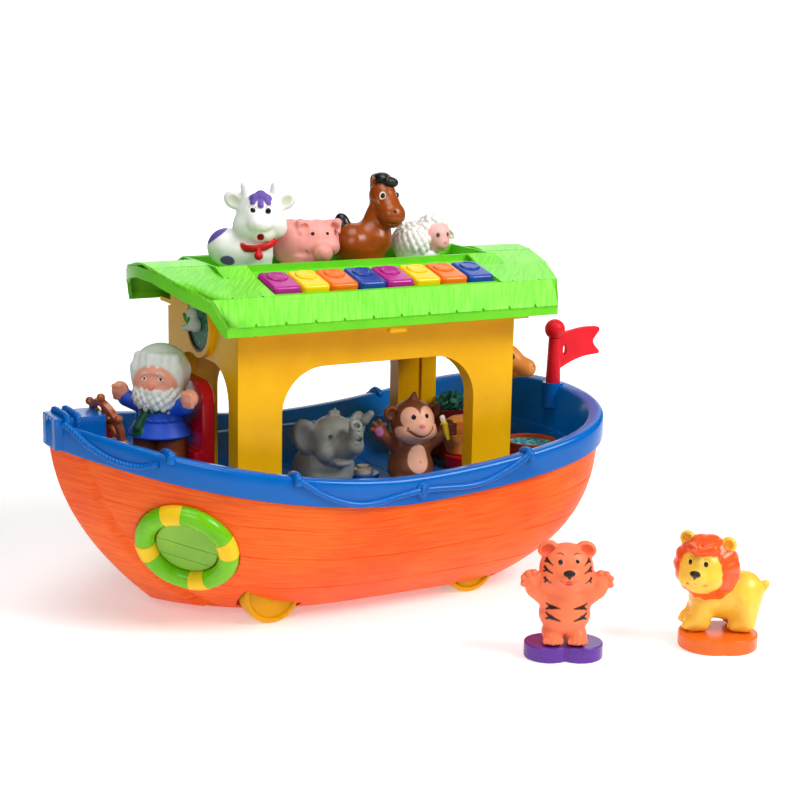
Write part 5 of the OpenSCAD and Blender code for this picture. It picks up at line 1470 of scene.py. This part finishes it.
# The darker peach of the navel is painted shade.
monkey.ball(monkey.front(3.4, 19), (0.5, 0.6, 0.9), "#c9825f", k=0.4, how="press")
monkey.frame = at(0, -2, 45, 9)
monkey.ball((0, 0, 0.5), (15.4, 14.6, 14.8)).ball((0, -6.4, -5.0), (14.8, 9.2, 8.6), peach, k=2.5)
monkey.ball((5.7, -9.6, 4.6), (7.0, 6.5, 7.8), peach, turn=(0, 14, 0), twin=True, how="paint")
monkey.ball((0, -13, 1.5), (5.4, 5.6, 6.4), peach, how="paint")
monkey.ball((0.6, -10.5, -3.8), (8.2, 7.8, 6.6), peach, k=2.5)
monkey.ball((15.6, 0.5, 6.6), (5.6, 3.0, 5.8), k=1.5, twin=True)
# The darker brown inside the ears is painted shade.
monkey.ball((16.0, -2.4, 6.6), (3.5, 1.9, 3.7), "#6a3519", k=1.0, twin=True, how="press")
monkey.limb((0, 0, 13), (0.6, -1, 19.4), 4.4, 1.6, k=2.5)
# The darker line of the smile groove and its ends is painted shade.
monkey.path([monkey.front(x, -3.0 - 4.6 * cos(x / 8.4 * 1.45), 0.2) for x in np.linspace(-8.4, 8.4, 9)],
            0.75, "#a8573d", k=0.6, how="press")
for s in (-1, 1):
    monkey.path([monkey.front(s * 8.9, -1.4, 0.1), monkey.front(s * 9.6, -3.2, 0.1)], 0.5, "#a8573d", k=0.5,
                how="press")
monkey.ball(monkey.front(0, -0.4, 0.4), (2.1, 1.2, 1.3), "#ef6f86", k=0.6)
for s in (-1, 1):
    monkey.bead(s * 4.7, 5.6, 1.6, 2.2)
monkey.frame = Matrix.Identity(4)
monkey.limb((20.4, -9.6, 45.4), (23.4, -9.8, 33.6), 1.9, 1.3, "#f2cf1f", k=0.5)
monkey.limb((19.6, -9.6, 46.6), (18.9, -9.8, 48.8), 1.8, 1.9, "#fbf7e6", k=0.4)
for dx, dy in ((-2.6, -0.6), (2.4, -0.8), (0, -2.2)):
    monkey.limb((20.2, -9.8, 46.0), (20.2 + dx, -9.8 + dy, 44.0), 0.9, 0.5, "#f2cf1f", k=0.4)
monkey.finish("monkey", standing(42, -25.5, deck_z, 14), soft_vinyl, "monkey_brown", fur)

# Giraffe: orange with darker patches, a long neck and a plain blunt muzzle, on a red base.
amber = "#ea9440"
giraffe = Clay((-20, -54, -0.4), (20, 28, 86))
giraffe.peg((0, 4, 0), 11, 11, 12).limb((0, 7, 15), (0, -5, 18), 12.3, 11.2, k=3)
giraffe.limb((0, -8, 20), (0, -22.5, 64), 9.2, 6.6, k=4)
giraffe.ball((0, -27.5, 71.5), (8.8, 9.8, 9.4), k=2.5).limb((0, -33, 68.5), (0, -41.5, 65), 7.0, 6.6, k=3)
giraffe.ball((0, -32.5, 60.5), (4.4, 5.2, 3.6), k=2)
giraffe.limb((3.2, -24, 76.6), (3.8, -23, 79.0), 1.9, 1.8, k=1.5, twin=True)
giraffe.ball((3.9, -22.8, 79.4), 2.2, "#a4501c", k=0.5, twin=True)
giraffe.ball((8.8, -21.5, 74), (4.4, 1.8, 2.8), k=1.5, turn=(0, -16, 20), twin=True)
# The darker orange of the nostrils is painted shade.
giraffe.ball((2.6, -47.6, 67.4), (0.8, 1.0, 1.0), "#b35f22", k=0.5, twin=True, how="press")
for x, y, z, r in ((8, -12, 30, 3.6), (7, -16, 42, 3.2), (6, -20, 52, 2.6), (10, 4, 20, 4.4),
                   (11, -3, 12, 3.6), (9, 12, 18, 3.6), (3, -16, 34, 2.4)):
    giraffe.ball((x, y, z), (r, r * 1.2, r * 1.1), "#c96c22", twin=True, how="paint")
for s in (-1, 1):
    giraffe.ball((s * 7.2, -32.5, 74.0), (1.5, 2.0, 2.2), "#3a2317", how="paint")
    giraffe.beads.append((eye_ball[0] * (0.8, 1.3, 1.6) + (s * 7.5, -32.5, 74.0), eye_ball[1]))
giraffe.finish("giraffe", standing(104, 3, deck_z + base_h + stand_gap, -46), soft_vinyl, "giraffe_orange",
               amber)

# Lion: yellow with a big orange-red mane of thick locks, standing on its own oval base.
sand, mane = "#fbcb45", "#f4581a"
lion = Clay((-34, -48, -0.4), (34, 38, 68))
lion.frame = at(-4.4, 5.3, 0, -38)
lion.limb((6.6, -14, 7), (6.6, -10, 18), 6.2, 7.0, k=2.5, twin=True)
lion.limb((7.0, -19.0, 4.6), (6.6, -12, 5.4), 4.8, 5.4, k=2, twin=True)
lion.limb((7.2, 15, 7), (7.2, 15, 19), 6.6, 8.4, k=2.5, twin=True)
lion.limb((7.6, 9.4, 4.6), (7.2, 15, 5.4), 4.8, 5.8, k=2, twin=True)
lion.limb((0, -4, 23), (0, 14, 24), 13.0, 13.4, k=3)
lion.ball((0, -8, 22), (12.8, 12, 14), k=3)
lion.ball((0, 3, 17), (11, 15, 11), k=3)
for x in (4.6, 7.0, 9.4):
    lion.ball((x, -23.2 + abs(x - 7) * 0.4, 3.2), (1.5, 1.6, 1.9), k=0.6, twin=True)
    lion.ball((x + 0.6, 5.4 + abs(x - 7) * 0.4, 3.2), (1.5, 1.6, 1.9), k=0.6, twin=True)
lion.limb((2, 25, 26), (3.5, 27.5, 30), 3.0, 2.8, k=1.5)
lion.frame = at(-6, -7, 42, 23)
lion.ball((0, 0.5, 0), (20.6, 14.5, 20.4), mane, k=2)
for i in range(15):
    a = 2 * pi * (i + 0.5) / 15
    c, s = cos(a), sin(a)
    lion.limb((13.6 * c, -7.0, 13.4 * s), (18.0 * c, -1.0, 17.6 * s), 4.6, 3.6, mane, k=2.0)
for i in range(13):
    a = 2 * pi * i / 13
    c, s = cos(a), sin(a)
    lion.limb((16.0 * c, 2.5, 15.8 * s), (15.6 * c, 8.0, 15.4 * s), 4.6, 3.4, mane, k=1.8)
    lion.limb((8 * c, 9, 8 * s), (9.4 * c, 13.6, 9.2 * s), 4.6, 3.0, mane, k=1.1)
lion.ball((0, -9.5, 0.2), (13.6, 10.5, 14.6), sand, k=1.0)
lion.ball((7.0, -14, -4.4), (6.6, 5.6, 6.2), sand, k=3, twin=True)
lion.ball((0, -18.0, -2.2), (6.8, 5.4, 5.4), sand, k=2)
lion.ball((0, -15.6, -8.6), (6.6, 5.0, 4.4), sand, k=2)
lion.limb((6.5, -11, 14.5), (-1.5, -18.6, 13.4), 4.2, 1.9, mane, k=1.0)
lion.limb((-6.5, -11, 14.0), (-1.5, -17.4, 14.8), 3.6, 2.0, mane, k=1.0)
lion.limb((-1.5, -19.0, 13.2), (-3.6, -19.4, 14.8), 1.8, 1.2, mane, k=0.6)
lion.ball((13.4, 0, 16.4), (5.0, 2.8, 5.2), sand, k=1.0, twin=True)
# The deeper orange inside the ears is painted shade.
lion.ball((13.6, -2.4, 16.6), (3.0, 1.8, 3.2), "#f3ac2c", k=0.8, twin=True, how="press")
# The darker orange of the mouth groove is painted shade.
lion.path([(-6.2, -19.4, -6.2), (-3.4, -22.0, -6.8), (0, -22.8, -5.6), (3.4, -22.0, -6.8),
           (6.2, -19.4, -6.2)], 0.5, "#d98a1e", k=0.5, how="press")
lion.ball((0, -22.8, 1.2), (3.5, 2.0, 2.0), "#15110f", k=0.4)
lion.limb((0, -22.8, 0.8), (0, -23.0, -1.6), 1.6, 0.7, "#15110f", k=0.6)
for s in (-1, 1):
    lion.bead(s * 5.0, 6.6, 1.4, 2.0)
    lion.path([lion.front(s * 5.0 + dx, 7.2 + dz) for dx, dz in ((-1.9, 1.4), (-0.8, 2.8), (0.8, 2.8),
            (1.9, 1.4))], 0.22, "#a8761e", how="paint")
lion.finish("lion", standing(157.4, -219.7, ground_z + base_h, 80), shiny_vinyl, "lion_yellow", sand)

# Tiger: orange-pink with black stripes, standing up with raised paws on a violet base.
coral, stripe = "#fb7c50", "#1f120f"
tiger = Clay((-36, -30, -0.4), (36, 22, 68))
tiger.limb((7.4, -6.6, 5.4), (7.4, 1, 6.2), 6.2, 6.4, k=1.2, twin=True)
for x in (2.8, 5.2, 7.7, 10.2, 12.4):
    tiger.ball((x, -12.4 + abs(x - 7.6) * 0.35, 3.4), (1.5, 1.5, 2.3), k=0.7, twin=True)
tiger.ball((0, 0, 18), (15.8, 14.2, 12.6)).limb((0, 0, 20), (0, 0, 30), 14.2, 12.6, k=3)
tiger.limb((8, -1, 27), (18.5, -3.6, 35), 7.4, 6.4, k=3, twin=True)
tiger.ball((21.5, -4.6, 40.6), (6.6, 5.0, 6.4), k=1.5, twin=True)
for dx, dz in ((5.2, -1.8), (5.2, 2.2), (2.6, 5.0), (-1.4, 5.8)):
    tiger.ball((21.5 + dx, -7.4, 40.6 + dz), (1.9, 2.3, 1.9), k=0.7, twin=True)
tiger.ball((20.9, -9.2, 39.2), (2.9, 1.2, 3.1), k=0.9, twin=True)
tiger.frame = at(0, -1, 46.5, 0)
tiger.ball((0, 0.5, 0.6), (16.6, 14.2, 15.6)).ball((8.4, -4.5, -4.6), (8.2, 8.2, 7.6), k=3, twin=True)
tiger.ball((0, -12.2, -1.8), (7.2, 5.2, 5.4), k=2.5).ball((0, -8, -8.6), (8, 6.5, 5.0), k=3)
tiger.ball((11.8, 0.8, 12.6), (6.4, 3.2, 5.2), k=1.6, turn=(0, 24, 0), twin=True)
# The deeper orange inside the ears is painted shade.
tiger.ball((12.2, -2.0, 12.7), (4.2, 2.0, 3.2), "#ef5f3a", k=1.0, turn=(0, 24, 0), twin=True, how="press")
tiger.ball((0, -16.6, 2.3), (3.7, 2.2, 2.0), "#12100f", k=0.4)
tiger.limb((0, -16.8, 1.9), (0, -17.2, -0.4), 1.8, 0.7, "#12100f", k=0.6)
tiger.ball(tiger.front(0, -4.8, -0.2), (2.8, 1.2, 1.2), "#dd3326", how="paint")
# The darker orange of the mouth groove is painted shade.
tiger.path([(-5.0, -15.8, -2.8), (-2.6, -17.4, -3.6), (0, -17.2, -2.6), (2.6, -17.4, -3.6),
            (5.0, -15.8, -2.8)], 0.4, "#d9593a", k=0.5, how="press")
for s in (-1, 1):
    tiger.bead(s * 5.1, 7.5, 1.45, 1.95)
    tiger.path([tiger.front(s * x, z) for x, z in ((3.2, 11.7), (4.8, 12.5), (6.8, 12.0))], 0.36, stripe)
    for fork in (((9.4, 5.4), (11.6, 6.8), (13.0, 8.2)), ((11.6, 6.8), (13.8, 6.4)),
                 ((9.8, 0.8), (12.2, 1.8), (14.2, 3.4)), ((12.2, 1.8), (14.6, 1.0)),
                 ((10.6, -5.0), (12.8, -3.6), (14.2, -2.6)), ((12.8, -3.6), (14.2, -5.0))):
        for (a, b), (c, d), wide in zip(fork, fork[1:], (0.7, 1.05)):
            tiger.limb(tiger.front(s * a, b), tiger.front(s * c, d), wide * 0.6, wide, stripe, how="paint")
tiger.frame = Matrix.Identity(4)
for s in (-1, 1):
    for z, lean in ((25.0, 0.0), (18.4, 2.0)):
        tip, fork = (s * 4.4, z - 0.4 * lean), (s * 9.6, z + 0.4 * lean)
        tiger.limb(tiger.front(*tip), tiger.front(*fork), 0.5, 1.5, stripe, how="paint")
        for up in (-1.8, 2.0):
            tiger.limb(tiger.front(*fork), tiger.front(s * 12.4, fork[1] + up), 1.1, 0.6, stripe,
                       how="paint")
tiger.limb((0, 12, 12), (6, 17, 18), 2.4, 2.0, k=1.5).limb((6, 17, 18), (4, 18, 26), 2.0, 2.2, k=1)
tiger.finish("tiger", standing(58.7, -192.3, ground_z + base_h, 28), soft_vinyl, "tiger_orange", coral)

# Captain: a jolly bearded sailor with white hair, blue tunic with a rope belt, green scarf
# and brown boots. The face is the maker's own, calm and plainly proportioned.
tunic, skin_tone, hair_white, boot, scarf = "#1d4fc4", "#f0a184", "#dfe3db", "#7a3a16", "#0f4a2c"
captain = Clay((-38, -30, -0.4), (38, 26, 80))
captain.peg((9.2, -1, 0), 9.6, 8.8, 19, boot, k=0.8, twin=True, edge=3)
captain.ball((9.6, -7.5, 3.8), (7.6, 7.5, 4.4), boot, k=2, twin=True)
captain.peg((0, 0, 16.5), 21.6, 14.2, 11, tunic, k=0.8, edge=1.6)
captain.limb((0, 0, 26), (0, 0, 34), 14.0, 13.0, tunic, k=1.5)
captain.ring((0, 0, 27.4), 14.6, 1.3, tunic, k=0.5, twist=22)
captain.limb((11, -1, 34), (22.5, -4.6, 38), 6.2, 5.4, tunic, k=2.5, twin=True)
captain.ring((22.2, -4.6, 38.0), 4.4, 1.2, tunic, k=0.8, turn=(0, 68, -18))
captain.ball((26, -6, 43.0), (5.6, 5.2, 6.0), skin_tone, k=1.2, twin=True)
for i in range(4):
    captain.limb((24.0, -9.6 + 0.5 * i, 46.4 - 2.5 * i), (28.6, -9.4 + 0.5 * i, 46.0 - 2.5 * i), 1.9, 1.7,
                 skin_tone, k=0.7, twin=True)
captain.limb((-2.4, -12.6, 31), (-3.6, -14.6, 28.5), 3.4, 3.0, scarf, k=0.8)
captain.limb((-4.2, -15.2, 27), (-5.2, -17.4, 23.0), 3.0, 3.4, scarf, k=0.6)
for i in range(5):
    captain.limb((-7.8 + 1.5 * i, -18.4, 21.6), (-8.4 + 1.7 * i, -19.8, 18.6), 0.9, 0.8, scarf, k=0.4)
captain.ring((0, -0.5, 36.5), 12.0, 2.6, scarf, k=0.8, turn=(10, 0, 0))
captain.frame = at(0, 0, 54, 14)
captain.ball((0, -1.5, -1), (15.6, 15.2, 16.2), skin_tone, k=1)
captain.ball((0, 2.6, 2.6), (18.9, 17.0, 18.2), hair_white, k=0.8)
captain.ball((0, -18.5, -5.0), (10.4, 8.5, 9.6), None, k=1.0, how="press")
captain.ball((0, -3.4, -3.2), (12.6, 12.4, 11.6), skin_tone, k=0.5)
for x, z, w in ((-13.6, 5.4, 3.6), (-8.4, 7.0, 3.8), (-2.8, 8.0, 4.0), (3.0, 8.0, 4.0), (8.6, 7.0, 3.8),
                (13.6, 5.4, 3.6)):
    captain.limb((x * 0.85, -10.4 + abs(x) * 0.40, 12.5), (x, -14.2 + abs(x) * 0.36, z), w + 0.4, 1.2,
                 hair_white, k=0.9)
for s in (-1, 1):
    captain.limb((s * 13.2, -5.5, 6), (s * 13.6, -3.5, -7), 4.4, 3.0, hair_white, k=2.6)
    captain.limb((s * 11.4, 6, 4), (s * 11.0, 6, -10), 6.0, 3.8, hair_white, k=2.6)
captain.ball((0, 8, -8), (13.5, 9, 10.5), hair_white, k=2)
for p in curls(150, 2, (0, -3.0, -12.0), (15.2, 13.2, 11.4)):
    if p[1] <= 1.5 and p[2] <= -6.5 + 0.055 * p[0] ** 2:
        captain.ball(p, 2.1, hair_white, k=0.8)
captain.ball((0, -3.6, -13.2), (13.8, 12.0, 10.4), hair_white, k=0.8)
captain.limb((1.4, -15.6, -7.4), (8.0, -12.6, -8.6), 2.0, 1.1, hair_white, k=0.8, twin=True)
captain.ball((0, -16.2, -4.2), (2.1, 2.4, 2.2), "#ea9175", k=1.0)
captain.ball((0, -15.0, -10.2), (2.6, 1.4, 0.9), "#d9745f", k=0.5)
for s in (-1, 1):
    captain.ball(captain.front(s * 5.2, 0.6), (2.3, 0.9, 1.3), "#fbf3ea", how="paint")
    captain.bead(s * 5.2, 0.5, 1.05, 1.2, 0.8, 0.45)
    captain.path([captain.front(s * 5.2 + dx, 0.6 + dz, -0.1)
                  for dx, dz in ((-2.3, 0.2), (-1.0, 1.5), (1.0, 1.5),
                                 (2.3, 0.3))], 0.34, "#c97a60", k=0.3, how="add")
    captain.path([captain.front(s * (5.2 + dx), 4.0 + dz)
                  for dx, dz in ((-2.2, 0.3), (0, 0.9), (2.2, -0.2))], 0.5, "#cfd2ca", how="paint")
captain.finish("captain", standing(-134, -10, foredeck_z + 2.5, 54), soft_vinyl, "captain_paint", tunic)

# Bases: flat weighted feet of hard plastic under the giraffe, the lion and the tiger.
for node, body, slot, colour, deep in (("giraffe_base", "giraffe_figure", "base_red", "#c9152b", "#a50f20"),
                                       ("lion_base", "lion_figure", "base_orange", "#f5781d", "#dc5f10"),
                                       ("tiger_base", "tiger_figure", "base_purple", "#6a32a6", "#55268a")):
    fit(softened(node + "_rounded", node, edge=1.3, steps=4, angle=20),
        moulded(slot + "_plastic", colour, deep, 0.25, 0.3), body, node, slot=slot)
